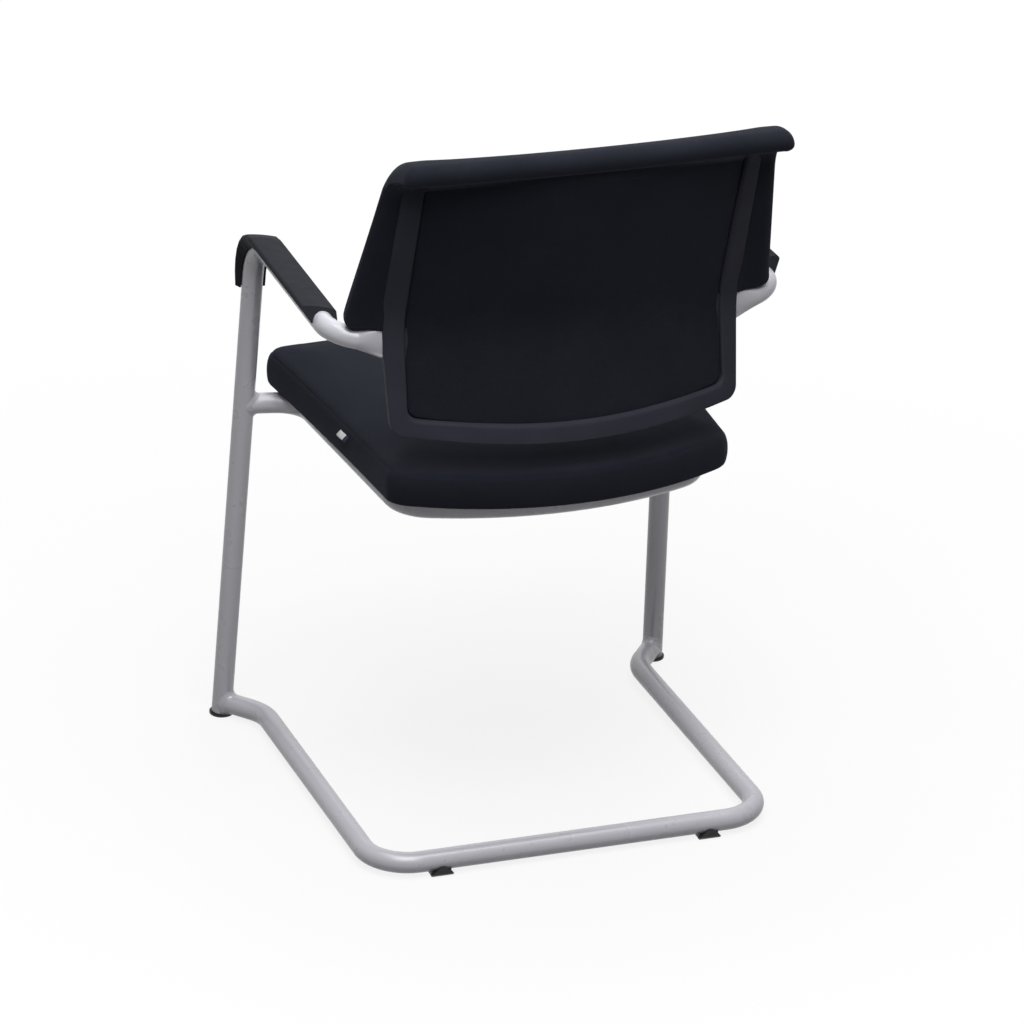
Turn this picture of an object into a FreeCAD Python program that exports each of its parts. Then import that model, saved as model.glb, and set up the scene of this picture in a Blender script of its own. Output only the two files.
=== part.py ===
"""Upholstered cantilever visitor chair with armrests, as separate pieces.

Millimetres. +Z is up, the sitter faces -Y and the sitter's left is +X. The origin is on
the floor, in the middle of the chair's footprint.
"""
import FreeCAD, Part
import math
import os

from FreeCAD import Vector

doc = FreeCAD.newDocument("CantileverChair")

# Driving dimensions
SIZES = {
    # Steel tube
    "tube_diameter": 25.0,
    "tube_wall": 2.0,
    "weld_gap": 0.1,
    # Leg, elbow and arm of one side tube
    "foot_x": 281.0,
    "foot_y": -238.0,
    "leg_lean_in": 0.0295,
    "leg_lean_back": 0.082,
    "leg_bottom": 5.0,
    "arm_height": 640.0,
    "elbow_radius": 52.0,
    "hook_x": 269.0,
    "hook_y": 117.0,
    "hook_height": 636.5,
    "hook_radius": 38.0,
    "tip_x": 168.0,
    "tip_y": 144.0,
    "tip_height": 616.0,
    "flat_height": 36.5,
    "flat_thickness": 9.0,
    "flat_length": 30.0,
    # Floor tube
    "floor_height": 16.5,
    "runner_x": 242.0,
    "front_bend_y": -188.0,
    "front_bend_radius": 55.0,
    "crossbar_y": 237.5,
    "rear_corner_radius": 52.0,
    # Seat tube
    "seat_tube_height": 416.5,
    "seat_tilt": 0.7,
    "seat_pivot_y": 170.0,
    "seat_bend_x": 201.0,
    "seat_bend_y": -190.0,
    "seat_bend_radius": 42.0,
    "seat_corner_x": 182.0,
    "seat_corner_y": 127.0,
    "seat_corner_radius": 45.0,
    "seat_bow_y": 190.5,
    "seat_bow_radius": 450.0,
    # Seat board and cushion
    "seat_front_x": 234.0,
    "seat_waist_x": 218.0,
    "seat_waist_y": -60.0,
    "seat_rear_x": 204.0,
    "seat_front_y": -231.0,
    "seat_rear_y": 152.0,
    "seat_front_bow": 8.0,
    "seat_rear_bow": 54.0,
    "seat_front_round": 22.0,
    "seat_rear_round": 18.0,
    "board_thickness": 10.0,
    "board_inset": 9.0,
    "seat_side_height": 42.0,
    "seat_crown": 14.0,
    "seat_bulge": 4.0,
    # Line of the backrest in side view, at its two uprights
    "kink_y": 135.6,
    "kink_height": 646.0,
    "kink_radius": 112.0,
    "lower_slope": -0.206,
    "upper_slope": 0.32,
    "back_low": 495.0,
    "back_high": 852.5,
    "upright_x": 212.0,
    "back_curve": 45.0,
    # Back frame
    "frame_thickness": 10.0,
    "frame_top_x": 213.0,
    "frame_wide_x": 217.0,
    "frame_wide_height": 680.0,
    "frame_low_x": 210.0,
    "frame_low_height": 523.0,
    "frame_bow_height": 505.0,
    "frame_corner_radius": 13.0,
    "window_x": 191.0,
    "window_low_height": 541.0,
    "window_bow_height": 530.0,
    "window_corner_radius": 12.0,
    "bow_radius": 1550.0,
    "panel_recess": 5.0,
    "shell_thickness": 7.0,
    # Back cushion
    "wing_low_x": 258.5,
    "wing_low_height": 646.0,
    "wing_taper": 0.128,
    "wing_thickness": 24.0,
    "wing_step": 4.0,
    "wing_top_thickness": 13.0,
    "cushion_thickness": 40.0,
    "cushion_top_thickness": 30.0,
    "cushion_low": 526.0,
    "roll_y": 242.0,
    "roll_height": 865.0,
    "roll_dip": 2.0,
    "roll_radius": 13.0,
    # Arm pad
    "pad_rear_y": 83.0,
    "pad_front_height": 574.0,
    "pad_outer": 24.0,
    "pad_inner": 16.5,
    "pad_top_outer": 19.0,
    "pad_top_inner": 13.5,
    # Glides
    "rear_glide_x": 166.0,
    # Fasteners
    "screw_diameter": 6.0,
    "head_diameter": 11.0,
    "shell_screw_diameter": 4.0,
    "shell_head_diameter": 8.0,
}

sheet = doc.addObject("Spreadsheet::Sheet", "Sizes")
for row, (alias, value) in enumerate(SIZES.items(), start=1):
    sheet.set(f"A{row}", alias)
    sheet.set(f"B{row}", repr(value))
    sheet.setAlias(f"B{row}", alias)
doc.recompute()


def size(alias):
    """Value of one driving dimension."""
    return float(sheet.get(alias))


parts = []


def keep(item, label):
    """Name a finished piece and list it for export."""
    item.Label = label
    parts.append(item)
    return item


# Sketch helpers
def base_plane(body, role):
    """Origin plane of a body, found by its role."""
    return next(f for f in body.Origin.OriginFeatures if f.Role == role)


def new_sketch(body, name, role, offset=None):
    """Empty sketch on an origin plane, raised along its normal by an expression."""
    sketch = body.newObject("Sketcher::SketchObject", name)
    sketch.AttachmentSupport = [(base_plane(body, role), "")]
    sketch.MapMode = "FlatFace"
    if offset:
        sketch.setExpression("AttachmentOffset.Base.z", offset)
    return sketch


def evaluate(expression):
    """Value of a signed alias or a sum of aliases and numbers."""
    names = {alias: size(alias) for alias in SIZES}
    total = 0.0
    for term in expression.replace("-", "+-").split("+"):
        term = term.strip()
        if term:
            sign = -1.0 if term.startswith("-") else 1.0
            word = term.lstrip("-").strip()
            total += sign * (names[word] if word in names else float(word))
    return total


def bound(expression):
    """The same sum as a document expression on the sheet."""
    words = []
    for term in expression.replace("-", "+-").split("+"):
        term = term.strip()
        if term:
            sign = "-" if term.startswith("-") else "+"
            word = term.lstrip("-").strip()
            words.append(f"{sign} {'Sizes.' + word if word in SIZES else word}")
    return " ".join(words).lstrip("+ ")


def negated(expression):
    """The same sum with every sign turned."""
    turned = expression.replace("-", "~").replace("+", "-").replace("~", "+")
    return turned[1:] if turned.startswith("+") else "-" + turned


def flipped(corners):
    """Corners mirrored to the other side, in the reverse order."""
    return [(negated(x), y, radius) for x, y, radius in reversed(corners)]


def constrain(sketch, kind, *where, value):
    """Dimension bound to the sheet."""
    index = sketch.addConstraint(sketch_constraint(kind, *where, evaluate(value)))
    sketch.setExpression(f"Constraints[{index}]", bound(value))


def sketch_constraint(*arguments):
    """One sketch constraint."""
    import Sketcher
    return Sketcher.Constraint(*arguments)


def bent_line(sketch, corners, closed=False):
    """Lines through the given corners, each corner rounded by a tangent arc.

    A corner is (x, y, radius) as expressions on the sheet; an end of an open line has no
    radius. The lines pass through the corner points, which are kept as sketch points.
    """
    points = [Vector(evaluate(x), evaluate(y), 0) for x, y, _ in corners]
    count = len(corners)
    bends = range(count) if closed else range(1, count - 1)
    runs = range(count) if closed else range(count - 1)
    entry, leave, arc_of, arc_ends = {}, {}, {}, {}
    for i in bends:
        radius = evaluate(corners[i][2])
        before = (points[i - 1] - points[i]).normalize()
        after = (points[(i + 1) % count] - points[i]).normalize()
        half = before.getAngle(after) / 2
        entry[i] = points[i] + before * (radius / math.tan(half))
        leave[i] = points[i] + after * (radius / math.tan(half))
        centre = points[i] + (before + after).normalize() * (radius / math.sin(half))
        anticlockwise = after.cross(before).z > 0
        first, last = (entry[i], leave[i]) if anticlockwise else (leave[i], entry[i])
        angles = [math.atan2(spot.y - centre.y, spot.x - centre.x) for spot in (first, last)]
        if angles[1] < angles[0]:
            angles[1] += 2 * math.pi
        circle = Part.Circle(centre, Vector(0, 0, 1), radius)
        arc_of[i] = sketch.addGeometry(Part.ArcOfCircle(circle, *angles), False)
        arc_ends[i] = (1, 2) if anticlockwise else (2, 1)
    line_of = {}
    for i in runs:
        start = leave.get(i, points[i])
        end = entry.get((i + 1) % count, points[(i + 1) % count])
        line_of[i] = sketch.addGeometry(Part.LineSegment(start, end), False)
    for i in bends:
        joined = (line_of[(i - 1) % count], line_of[i])
        for line, end, arc_end in zip(joined, (2, 1), arc_ends[i]):
            sketch.addConstraint(sketch_constraint("Tangent", line, end, arc_of[i], arc_end))
        constrain(sketch, "Radius", arc_of[i], value=corners[i][2])
        mark = sketch.addGeometry(Part.Point(points[i]), True)
        for line in joined:
            sketch.addConstraint(sketch_constraint("PointOnObject", mark, 1, line))
        place_point(sketch, mark, 1, corners[i])
    if not closed:
        place_point(sketch, line_of[0], 1, corners[0])
        place_point(sketch, line_of[count - 2], 2, corners[-1])


def place_point(sketch, item, end, corner):
    """Hold one sketch point at its corner's place."""
    for kind, value in (("DistanceX", corner[0]), ("DistanceY", corner[1])):
        if abs(evaluate(value)) < 1e-9:
            axis = -2 if kind == "DistanceX" else -1
            sketch.addConstraint(sketch_constraint("PointOnObject", item, end, axis))
        else:
            constrain(sketch, kind, -1, 1, item, end, value=value)


def ring_profile(sketch, outer, inner=None):
    """Concentric circles about the sketch's origin, bound to the tube's size."""
    for value in filter(None, (outer, inner)):
        circle = sketch.addGeometry(Part.Circle(Vector(), Vector(0, 0, 1), 5.0), False)
        sketch.addConstraint(sketch_constraint("Coincident", circle, 3, -1, 1))
        index = sketch.addConstraint(sketch_constraint("Diameter", circle, 10.0))
        sketch.setExpression(f"Constraints[{index}]", value)


OUTER = "Sizes.tube_diameter"
BORE = "Sizes.tube_diameter - 2 * Sizes.tube_wall"


def path_edges(path, corners):
    """Names of a bent line's edges, with the straight run at its start first."""
    start = Vector(evaluate(corners[0][0]), evaluate(corners[0][1]), 0)
    edges = path.Shape.Edges
    gaps = [
        min(Vector(v.X, v.Y, 0).distanceToPoint(start) for v in edge.Vertexes)
        for edge in edges
    ]
    first = gaps.index(min(gaps))
    order = [first] + [n for n in range(len(edges)) if n != first]
    return [f"Edge{n + 1}" for n in order]


def flat_tube(name, corners, height):
    """Hollow tube along a bent line in a level plane."""
    body = doc.addObject("PartDesign::Body", name)
    path = new_sketch(body, name + "Path", "XY_Plane", "Sizes." + height)
    bent_line(path, corners)
    doc.recompute()
    ring = body.newObject("Sketcher::SketchObject", name + "Section")
    edges = path_edges(path, corners)
    ring.AttachmentSupport = [(path, edges[0])]
    ring.MapMode = "NormalToEdge"
    ring_profile(ring, OUTER, BORE)
    doc.recompute()
    pipe = body.newObject("PartDesign::AdditivePipe", name + "Pipe")
    pipe.Profile = ring
    pipe.Spine = (path, edges)
    doc.recompute()
    return body


def mirrored(source, label):
    """Right-hand copy of a left-hand piece."""
    item = doc.addObject("Part::Mirroring", "Right" + source.Name)
    item.Source = source
    item.Normal = Vector(1, 0, 0)
    return keep(item, label)


def feature(name, shape, placement=None):
    """Shape made by Part's own functions, as one document object."""
    item = doc.addObject("Part::Feature", name)
    item.Shape = shape
    if placement:
        item.Placement = placement.multiply(item.Placement)
    return item


def cut(name, base, tool):
    """Base less tool."""
    item = doc.addObject("Part::Cut", name)
    item.Base = base
    item.Tool = tool
    return item


def fuse(name, items):
    """Several objects as one solid."""
    item = doc.addObject("Part::MultiFuse", name)
    item.Shapes = items
    return item


def common(name, first, second):
    """What two objects share."""
    item = doc.addObject("Part::MultiCommon", name)
    item.Shapes = [first, second]
    return item


# Side tubes: leg, arm and flattened tip in one length of tube
def leg_point(height):
    """Point of the left leg's axis at a height."""
    return Vector(
        size("foot_x") - size("leg_lean_in") * height,
        size("foot_y") + size("leg_lean_back") * height,
        height,
    )


def rounded_path(points, radii):
    """Wire of straight runs joined by tangent arcs."""
    edges = []
    start = points[0]
    for i in range(1, len(points) - 1):
        before = (points[i - 1] - points[i]).normalize()
        after = (points[i + 1] - points[i]).normalize()
        half = before.getAngle(after) / 2
        reach = radii[i - 1] / math.tan(half)
        bisector = (before + after).normalize()
        nearest = points[i] + bisector * (radii[i - 1] / math.sin(half) - radii[i - 1])
        entry = points[i] + before * reach
        leave = points[i] + after * reach
        edges.append(Part.LineSegment(start, entry).toShape())
        edges.append(Part.Arc(entry, nearest, leave).toShape())
        start = leave
    edges.append(Part.LineSegment(start, points[-1]).toShape())
    return Part.Wire(edges)


HOOK = Vector(size("hook_x"), size("hook_y"), size("hook_height"))
TIP = Vector(size("tip_x"), size("tip_y"), size("tip_height"))
ELBOW = leg_point(size("arm_height"))
hook_turn = (ELBOW - HOOK).getAngle(TIP - HOOK) / 2
HOOK_END = HOOK + (TIP - HOOK).normalize() * (size("hook_radius") / math.tan(hook_turn))

side_points = [leg_point(size("leg_bottom")), ELBOW, HOOK, TIP]
side_line = rounded_path(side_points, [size("elbow_radius"), size("hook_radius")])
side_path = feature("SidePath", Part.Wire(side_line.Edges[:-1]))


def side_sweep(name, diameter):
    """Round part of the side tube at one diameter."""
    ring = doc.addObject("Part::Circle", name + "Section")
    ring.setExpression("Radius", f"({diameter}) / 2")
    along = side_points[1] - side_points[0]
    ring.Placement = FreeCAD.Placement(
        side_points[0], FreeCAD.Rotation(Vector(0, 0, 1), along)
    )
    sweep = doc.addObject("Part::Sweep", name)
    sweep.Sections = [ring]
    sweep.Spine = (side_path, [f"Edge{n + 1}" for n in range(len(side_path.Shape.Edges))])
    sweep.Solid = True
    sweep.Frenet = False
    return sweep


def oval(centre, along, height, thickness):
    """Section of the flattened tube: an upright oval of four arcs."""
    along = Vector(along).normalize()
    side = along.cross(Vector(0, 0, 1)).normalize()
    up = side.cross(along).normalize()
    reach = Vector(height / 2, thickness / 2, 0)
    corner = math.cos(math.pi / 4)

    def at(across, rise):
        return centre + side * (across * reach.y) + up * (rise * reach.x)

    stops = [at(corner, corner), at(-corner, corner), at(-corner, -corner), at(corner, -corner)]
    tops = [at(0, 1), at(-1, 0), at(0, -1), at(1, 0)]
    edges = [
        Part.Arc(stops[i], tops[i], stops[(i + 1) % 4]).toShape() for i in range(4)
    ]
    return Part.Wire(edges)


def tip_lofts(wall):
    """Tube pressed from round to a flat oval behind the hook, and its flat run."""
    along = (TIP - HOOK).normalize()
    round_size = size("tube_diameter") - 2 * wall
    flat = (size("flat_height") - 2 * wall, size("flat_thickness") - 2 * wall)
    flat_start = HOOK_END + along * size("flat_length")
    stops = [
        oval(HOOK_END, along, round_size, round_size),
        oval(flat_start, along, *flat),
        oval(TIP, along, *flat),
    ]
    return [Part.makeLoft(stops[:2], True, False), Part.makeLoft(stops[1:], True, True)]


outer_round = side_sweep("SideOuter", OUTER)
inner_round = side_sweep("SideInner", BORE)
hollow_round = cut("SideRound", outer_round, inner_round)
outer_tips = tip_lofts(0.0)
inner_tips = tip_lofts(size("tube_wall"))
hollow_tips = [
    feature(name, outer.cut(inner))
    for name, outer, inner in zip(("TipPressed", "TipFlat"), outer_tips, inner_tips)
]
side_whole = fuse("SideWhole", [hollow_round] + hollow_tips)

# Axes of the two screws through each flattened tip
TIP_ALONG = (TIP - HOOK).normalize()
TIP_REAR = TIP_ALONG.cross(Vector(0, 0, 1)).normalize()
TIP_SCREWS = [TIP - TIP_ALONG * 9.0, TIP - TIP_ALONG * 25.0]


def tip_bores(front, rear, grow=0.1):
    """Cylinders on the axes of the left tip's screws, from front to rear of the tip."""
    radius = size("screw_diameter") / 2 + grow
    return [
        Part.makeCylinder(radius, rear - front, point + TIP_REAR * front, TIP_REAR)
        for point in TIP_SCREWS
    ]


tip_holes = feature("TipHoles", Part.makeCompound(tip_bores(-30.0, 30.0)))
side_tube = keep(cut("SideTube", side_whole, tip_holes), "side_tube_left")
solid_tips = [
    feature(name, outer) for name, outer in zip(("TipPressedSolid", "TipFlatSolid"), outer_tips)
]
side_solid = fuse("SideSolid", [outer_round] + solid_tips)
doc.recompute()
right_solid = doc.addObject("Part::Mirroring", "RightSideSolid")
right_solid.Source = side_solid
right_solid.Normal = Vector(1, 0, 0)
mirrored(side_tube, "side_tube_right")
doc.recompute()


def leg_core(name):
    """Solid cylinder that fills the left leg, to cope the tubes that meet it."""
    core = doc.addObject("Part::Cylinder", name)
    core.setExpression("Radius", OUTER + " / 2 + Sizes.weld_gap")
    core.setExpression("Height", "Sizes.arm_height - 80")
    along = leg_point(size("arm_height")) - leg_point(0)
    core.Placement = FreeCAD.Placement(
        leg_point(0), FreeCAD.Rotation(Vector(0, 0, 1), along)
    )
    mirror = doc.addObject("Part::Mirroring", name + "Right")
    mirror.Source = core
    mirror.Normal = Vector(1, 0, 0)
    return core, mirror


leg_left, leg_right = leg_core("LegCore")


def coped(name, pipe, label):
    """Level tube whose two ends fit the round of the legs."""
    first = cut(name + "LeftEnd", pipe, leg_left)
    return keep(cut(name, first, leg_right), label)


def flat_vector(alias_x, alias_y, height):
    """Point from two driving dimensions and a height."""
    return Vector(size(alias_x), size(alias_y), height)


# Floor tube: a U on the floor whose two front ends meet the legs
LEG_AT_FLOOR = leg_point(size("floor_height"))
floor_start = (f"{LEG_AT_FLOOR.x:.4f}", f"{LEG_AT_FLOOR.y:.4f}", None)
floor_half = [
    floor_start,
    ("runner_x", "front_bend_y", "front_bend_radius"),
    ("runner_x", "crossbar_y", "rear_corner_radius"),
]


def both_halves(half):
    """Corners of a symmetric U from those of its left half."""
    return half + flipped(half)


floor_pipe = flat_tube("FloorPipe", both_halves(floor_half), "floor_height")
coped("FloorTube", floor_pipe, "floor_tube")

# Seat tube: a U under the seat, bowed at the rear
LEG_AT_SEAT = leg_point(size("seat_tube_height"))
seat_half = [
    (f"{LEG_AT_SEAT.x:.4f}", f"{LEG_AT_SEAT.y:.4f}", None),
    ("seat_bend_x", "seat_bend_y", "seat_bend_radius"),
    ("seat_corner_x", "seat_corner_y", "seat_corner_radius"),
]
seat_corners = (
    seat_half
    + [("0", "seat_bow_y", "seat_bow_radius")]
    + flipped(seat_half)
)
SEAT_TILT = FreeCAD.Placement(
    Vector(),
    FreeCAD.Rotation(Vector(1, 0, 0), -size("seat_tilt")),
    Vector(0, size("seat_pivot_y"), size("seat_tube_height")),
)
seat_pipe = flat_tube("SeatPipe", seat_corners, "seat_tube_height")
seat_pipe.Placement = SEAT_TILT
coped("SeatTube", seat_pipe, "seat_tube")
doc.recompute()


# Weld beads: rings round the four joints of the tubes
def weld_bead(start, corner, grow=3.0):
    """Ring of weld metal where a level tube meets the left leg."""
    radius = size("tube_diameter") / 2
    leg_axis = leg_point(start.z + 40) - leg_point(start.z - 40)
    leg = Part.makeCylinder(radius, leg_axis.Length, leg_point(start.z - 40), leg_axis)
    thick_leg = Part.makeCylinder(
        radius + grow, leg_axis.Length, leg_point(start.z - 40), leg_axis
    )
    run = corner - start
    level = Part.makeCylinder(radius, run.Length / 2, start, run)
    thick = Part.makeCylinder(radius + grow, run.Length / 2, start, run)
    ring = thick_leg.common(thick).cut(leg).cut(level)
    return max(ring.Solids, key=lambda solid: solid.Volume)


beads = [
    weld_bead(LEG_AT_FLOOR, flat_vector("runner_x", "front_bend_y", size("floor_height"))),
    weld_bead(
        SEAT_TILT.multVec(LEG_AT_SEAT),
        SEAT_TILT.multVec(flat_vector("seat_bend_x", "seat_bend_y", size("seat_tube_height"))),
    ),
]
floor_clear = Part.makeBox(800, 800, 60, Vector(-400, -400, size("leg_bottom") + 1.4))
beads[0] = beads[0].common(floor_clear)
beads += [bead.mirror(Vector(), Vector(1, 0, 0)) for bead in beads]
keep(feature("FrameWelds", Part.makeCompound(beads)), "frame_welds")


# Seat outline shared by the board and the cushion
def seat_outline(inset, height):
    """Closed outline of the seat in plan, drawn in by inset, at a height."""
    front_x = size("seat_front_x") - inset
    rear_x = size("seat_rear_x") - inset
    front_y = size("seat_front_y") + inset
    rear_y = size("seat_rear_y") - inset
    front_round = max(size("seat_front_round") - inset * 0.5, 8.0)
    rear_round = max(size("seat_rear_round") - inset * 0.2, 8.0)
    front_mid = Vector(0, front_y - size("seat_front_bow"), height)
    rear_mid = Vector(0, rear_y + size("seat_rear_bow"), height)
    side_front = Vector(front_x - 0.11 * front_round, front_y + front_round, height)
    side_mid = Vector(size("seat_waist_x") - inset, size("seat_waist_y"), height)
    side_rear = Vector(rear_x + 0.03 * rear_round, rear_y - 0.6 * rear_round, height)
    front_in = Vector(front_x - front_round, front_y, height)
    rear_in = Vector(rear_x - rear_round, rear_y + 0.5 * rear_round, height)

    def flip(point):
        return Vector(-point.x, point.y, point.z)

    def corner_arc(start, end, vertex):
        middle = (start + end) * 0.5
        return Part.Arc(start, middle + (vertex - middle) * 0.42, end).toShape()

    front_vertex = Vector(front_x, front_y, height)
    rear_vertex = Vector(rear_x, rear_y, height)
    return Part.Wire(
        [
            Part.Arc(flip(front_in), front_mid, front_in).toShape(),
            corner_arc(front_in, side_front, front_vertex),
            Part.Arc(side_front, side_mid, side_rear).toShape(),
            corner_arc(side_rear, rear_in, rear_vertex),
            Part.Arc(rear_in, rear_mid, flip(rear_in)).toShape(),
            corner_arc(flip(rear_in), flip(side_rear), flip(rear_vertex)),
            Part.Arc(flip(side_rear), flip(side_mid), flip(side_front)).toShape(),
            corner_arc(flip(side_front), flip(front_in), flip(front_vertex)),
        ]
    )


SEAT_BASE = size("seat_tube_height") + size("tube_diameter") / 2
SEAT_SEAM = SEAT_BASE + size("seat_side_height")
LUG_Y = (-120.0, 70.0)

# Four lugs welded inside the seat tube, with a hole for a screw
LUG = {"length": 40.0, "width": 26.0, "thickness": 3.0}
side_start = flat_vector("seat_bend_x", "seat_bend_y", size("seat_tube_height"))
side_run = flat_vector("seat_corner_x", "seat_corner_y", size("seat_tube_height")) - side_start


def side_x(y):
    """Distance of the seat tube's left run from the middle at y."""
    return side_start.x + side_run.x * (y - side_start.y) / side_run.y


def lug(y):
    """Left lug, which reaches inward from the top of the seat tube at y."""
    low = SEAT_BASE - LUG["thickness"]
    outer = side_x(y)
    corner = Vector(outer - LUG["length"], y - LUG["width"] / 2, low)
    plate = Part.makeBox(LUG["length"], LUG["width"], LUG["thickness"], corner)
    hole = Part.makeCylinder(size("screw_diameter") / 2, 10, Vector(hole_x(y), y, low - 2))
    tube = Part.makeCylinder(size("tube_diameter") / 2, side_run.Length, side_start, side_run)
    plate = plate.cut(tube).cut(hole)
    plate = max(plate.Solids, key=lambda solid: solid.Volume)
    inner = outer - LUG["length"]
    upright = [
        edge for edge in plate.Edges
        if edge.BoundBox.ZLength > 2.9 and edge.BoundBox.XMax < inner + 0.1
    ]
    return plate.makeFillet(6.0, upright)


def hole_x(y):
    """Distance of a lug's screw hole from the middle."""
    return side_x(y) - LUG["length"] + 13.0


left_lugs = [lug(y) for y in LUG_Y]
right_lugs = [plate.mirror(Vector(), Vector(1, 0, 0)) for plate in left_lugs]
keep(feature("SeatLugs", Part.makeCompound(left_lugs + right_lugs), SEAT_TILT), "seat_lugs")
hole_places = [(side * hole_x(y), y) for y in LUG_Y for side in (1, -1)]

# Seat board: plywood, drilled for the tee nuts
FLANGE = {"diameter": 18.0, "thickness": 1.5, "barrel": 8.0}
board_blank = Part.Face(seat_outline(size("board_inset"), SEAT_BASE)).extrude(
    Vector(0, 0, size("board_thickness"))
)
BOARD_TOP = SEAT_BASE + size("board_thickness")
for x, y in hole_places:
    bore = Part.makeCylinder(FLANGE["barrel"] / 2, 20, Vector(x, y, SEAT_BASE - 5))
    seat = Part.makeCylinder(
        FLANGE["diameter"] / 2, 5, Vector(x, y, BOARD_TOP - FLANGE["thickness"])
    )
    board_blank = board_blank.cut(bore).cut(seat)
keep(feature("SeatBoard", board_blank, SEAT_TILT), "seat_board")


def repeated(name, label, shape, places, placement=None):
    """Group of one fastener at several places, each (x, y, z)."""
    copies = []
    for place in places:
        copy = shape.copy()
        copy.translate(Vector(*place))
        copies.append(copy)
    return keep(feature(name, Part.makeCompound(copies), placement), label)


# Tee nuts pressed into the board, and the screws that hold it to the lugs
nut_low = BOARD_TOP - size("board_thickness")
tee_nut = Part.makeCylinder(FLANGE["barrel"] / 2, size("board_thickness") - 0.2)
tee_nut = tee_nut.fuse(
    Part.makeCylinder(
        FLANGE["diameter"] / 2,
        FLANGE["thickness"],
        Vector(0, 0, size("board_thickness") - FLANGE["thickness"]),
    )
)
tee_nut = tee_nut.cut(Part.makeCylinder(size("screw_diameter") / 2, 20, Vector(0, 0, -2)))
nut_places = [(x, y, nut_low) for x, y in hole_places]
repeated("SeatTeeNuts", "seat_tee_nuts", tee_nut, nut_places, SEAT_TILT)


def pan_screw(length, head_height=3.6, shank_diameter=None, head_diameter=None):
    """Pan head screw with a hexagon socket, head downward, shank up from zero."""
    shank_diameter = shank_diameter or size("screw_diameter")
    radius = (head_diameter or size("head_diameter")) / 2
    head = Part.makeCylinder(radius, head_height, Vector(0, 0, -head_height))
    rim = [edge for edge in head.Edges if edge.BoundBox.ZMax < -head_height + 0.1]
    head = head.makeFillet(0.25 * radius, rim[:1])
    shank = Part.makeCylinder(shank_diameter / 2, length)
    reach = 0.42 * radius
    turns = [math.radians(60 * n) for n in range(7)]
    points = [Vector(reach * math.cos(turn), reach * math.sin(turn), 0) for turn in turns]
    socket = Part.Face(Part.makePolygon(points)).extrude(Vector(0, 0, 0.6 * head_height))
    socket.translate(Vector(0, 0, -head_height))
    return head.fuse(shank).cut(socket)


screw_base = SEAT_BASE - LUG["thickness"]
repeated(
    "SeatScrews",
    "seat_screws",
    pan_screw(LUG["thickness"] + size("board_thickness") - 1.0),
    [(x, y, screw_base) for x, y in hole_places],
    SEAT_TILT,
)

# Seat cushion: drawn-in sides, a seam round the top edge and a crown
SEAT_LEVELS = [
    (0.0, 1.1),
    (0.10, 0.2),
    (0.30, -0.55),
    (0.62, -0.9),
    (0.88, -0.35),
    (1.0, 1.2),
]
bulge = size("seat_bulge")
seat_rings = [
    seat_outline(bulge * draw, SEAT_BASE + size("seat_side_height") * level)
    for level, draw in SEAT_LEVELS
]
CROWN_LEVELS = [(0.42, 14.0), (0.78, 42.0), (1.0, 95.0)]
seat_rings += [
    seat_outline(inset, SEAT_SEAM + size("seat_crown") * level)
    for level, inset in CROWN_LEVELS
]
seat_blank = feature("SeatCushionBlank", Part.makeLoft(seat_rings, True, True), SEAT_TILT)
board_room = Part.Face(seat_outline(size("board_inset") - 0.3, SEAT_BASE - 5)).extrude(
    Vector(0, 0, size("board_thickness") + 5.3)
)
seat_cushion = cut("SeatCushion", seat_blank, feature("BoardRoom", board_room, SEAT_TILT))
keep(seat_cushion, "seat_cushion")

# Blank cloth tag sewn into the seat's left seam
tag = Part.makeBox(1.2, 24.0, 9.0, Vector(-0.6, -12.0, -9.0))
tag.rotate(Vector(), Vector(0, 1, 0), -56)
tag.translate(Vector(218.9, 25.0, SEAT_SEAM - 6.5))
keep(feature("SeatTag", tag, SEAT_TILT), "seat_tag")
doc.recompute()


# Backrest sheets: each lies between two offsets from one curved surface
def back_line(height):
    """Side-view line of the backrest without its rounded kink."""
    rise = height - size("kink_height")
    slope = size("upper_slope") if rise > 0 else size("lower_slope")
    return size("kink_y") + slope * rise


def back_edges(offset, low, high, place, top_offset=None):
    """Side-view line, moved forward by offset, from low to high, as three edges.

    place turns (y, z) into a point of the wanted section. The offset may change to
    top_offset at the upper end.
    """
    vertex = Vector(0, size("kink_y"), size("kink_height"))
    down = Vector(0, -size("lower_slope"), -1).normalize()
    up = Vector(0, size("upper_slope"), 1).normalize()
    half = down.getAngle(up) / 2
    reach = size("kink_radius") / math.tan(half)
    bisector = (down + up).normalize()
    middle = vertex + bisector * (size("kink_radius") / math.sin(half) - size("kink_radius"))
    marks = [
        Vector(0, back_line(low), low),
        vertex + down * reach,
        middle,
        vertex + up * reach,
        Vector(0, back_line(high), high),
    ]
    offsets = [offset] * 4 + [offset if top_offset is None else top_offset]
    spots = [place(mark.y - step, mark.z) for mark, step in zip(marks, offsets)]
    return [
        Part.LineSegment(spots[0], spots[1]).toShape(),
        Part.Arc(spots[1], spots[2], spots[3]).toShape(),
        Part.LineSegment(spots[3], spots[4]).toShape(),
    ]


def plan_bow(x):
    """How far the backrest stands rearward of its uprights at x."""
    return size("back_curve") * (1 - (x / size("upright_x")) ** 2)


STATIONS = (-240.0, -120.0, 0.0, 120.0, 240.0)


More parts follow.
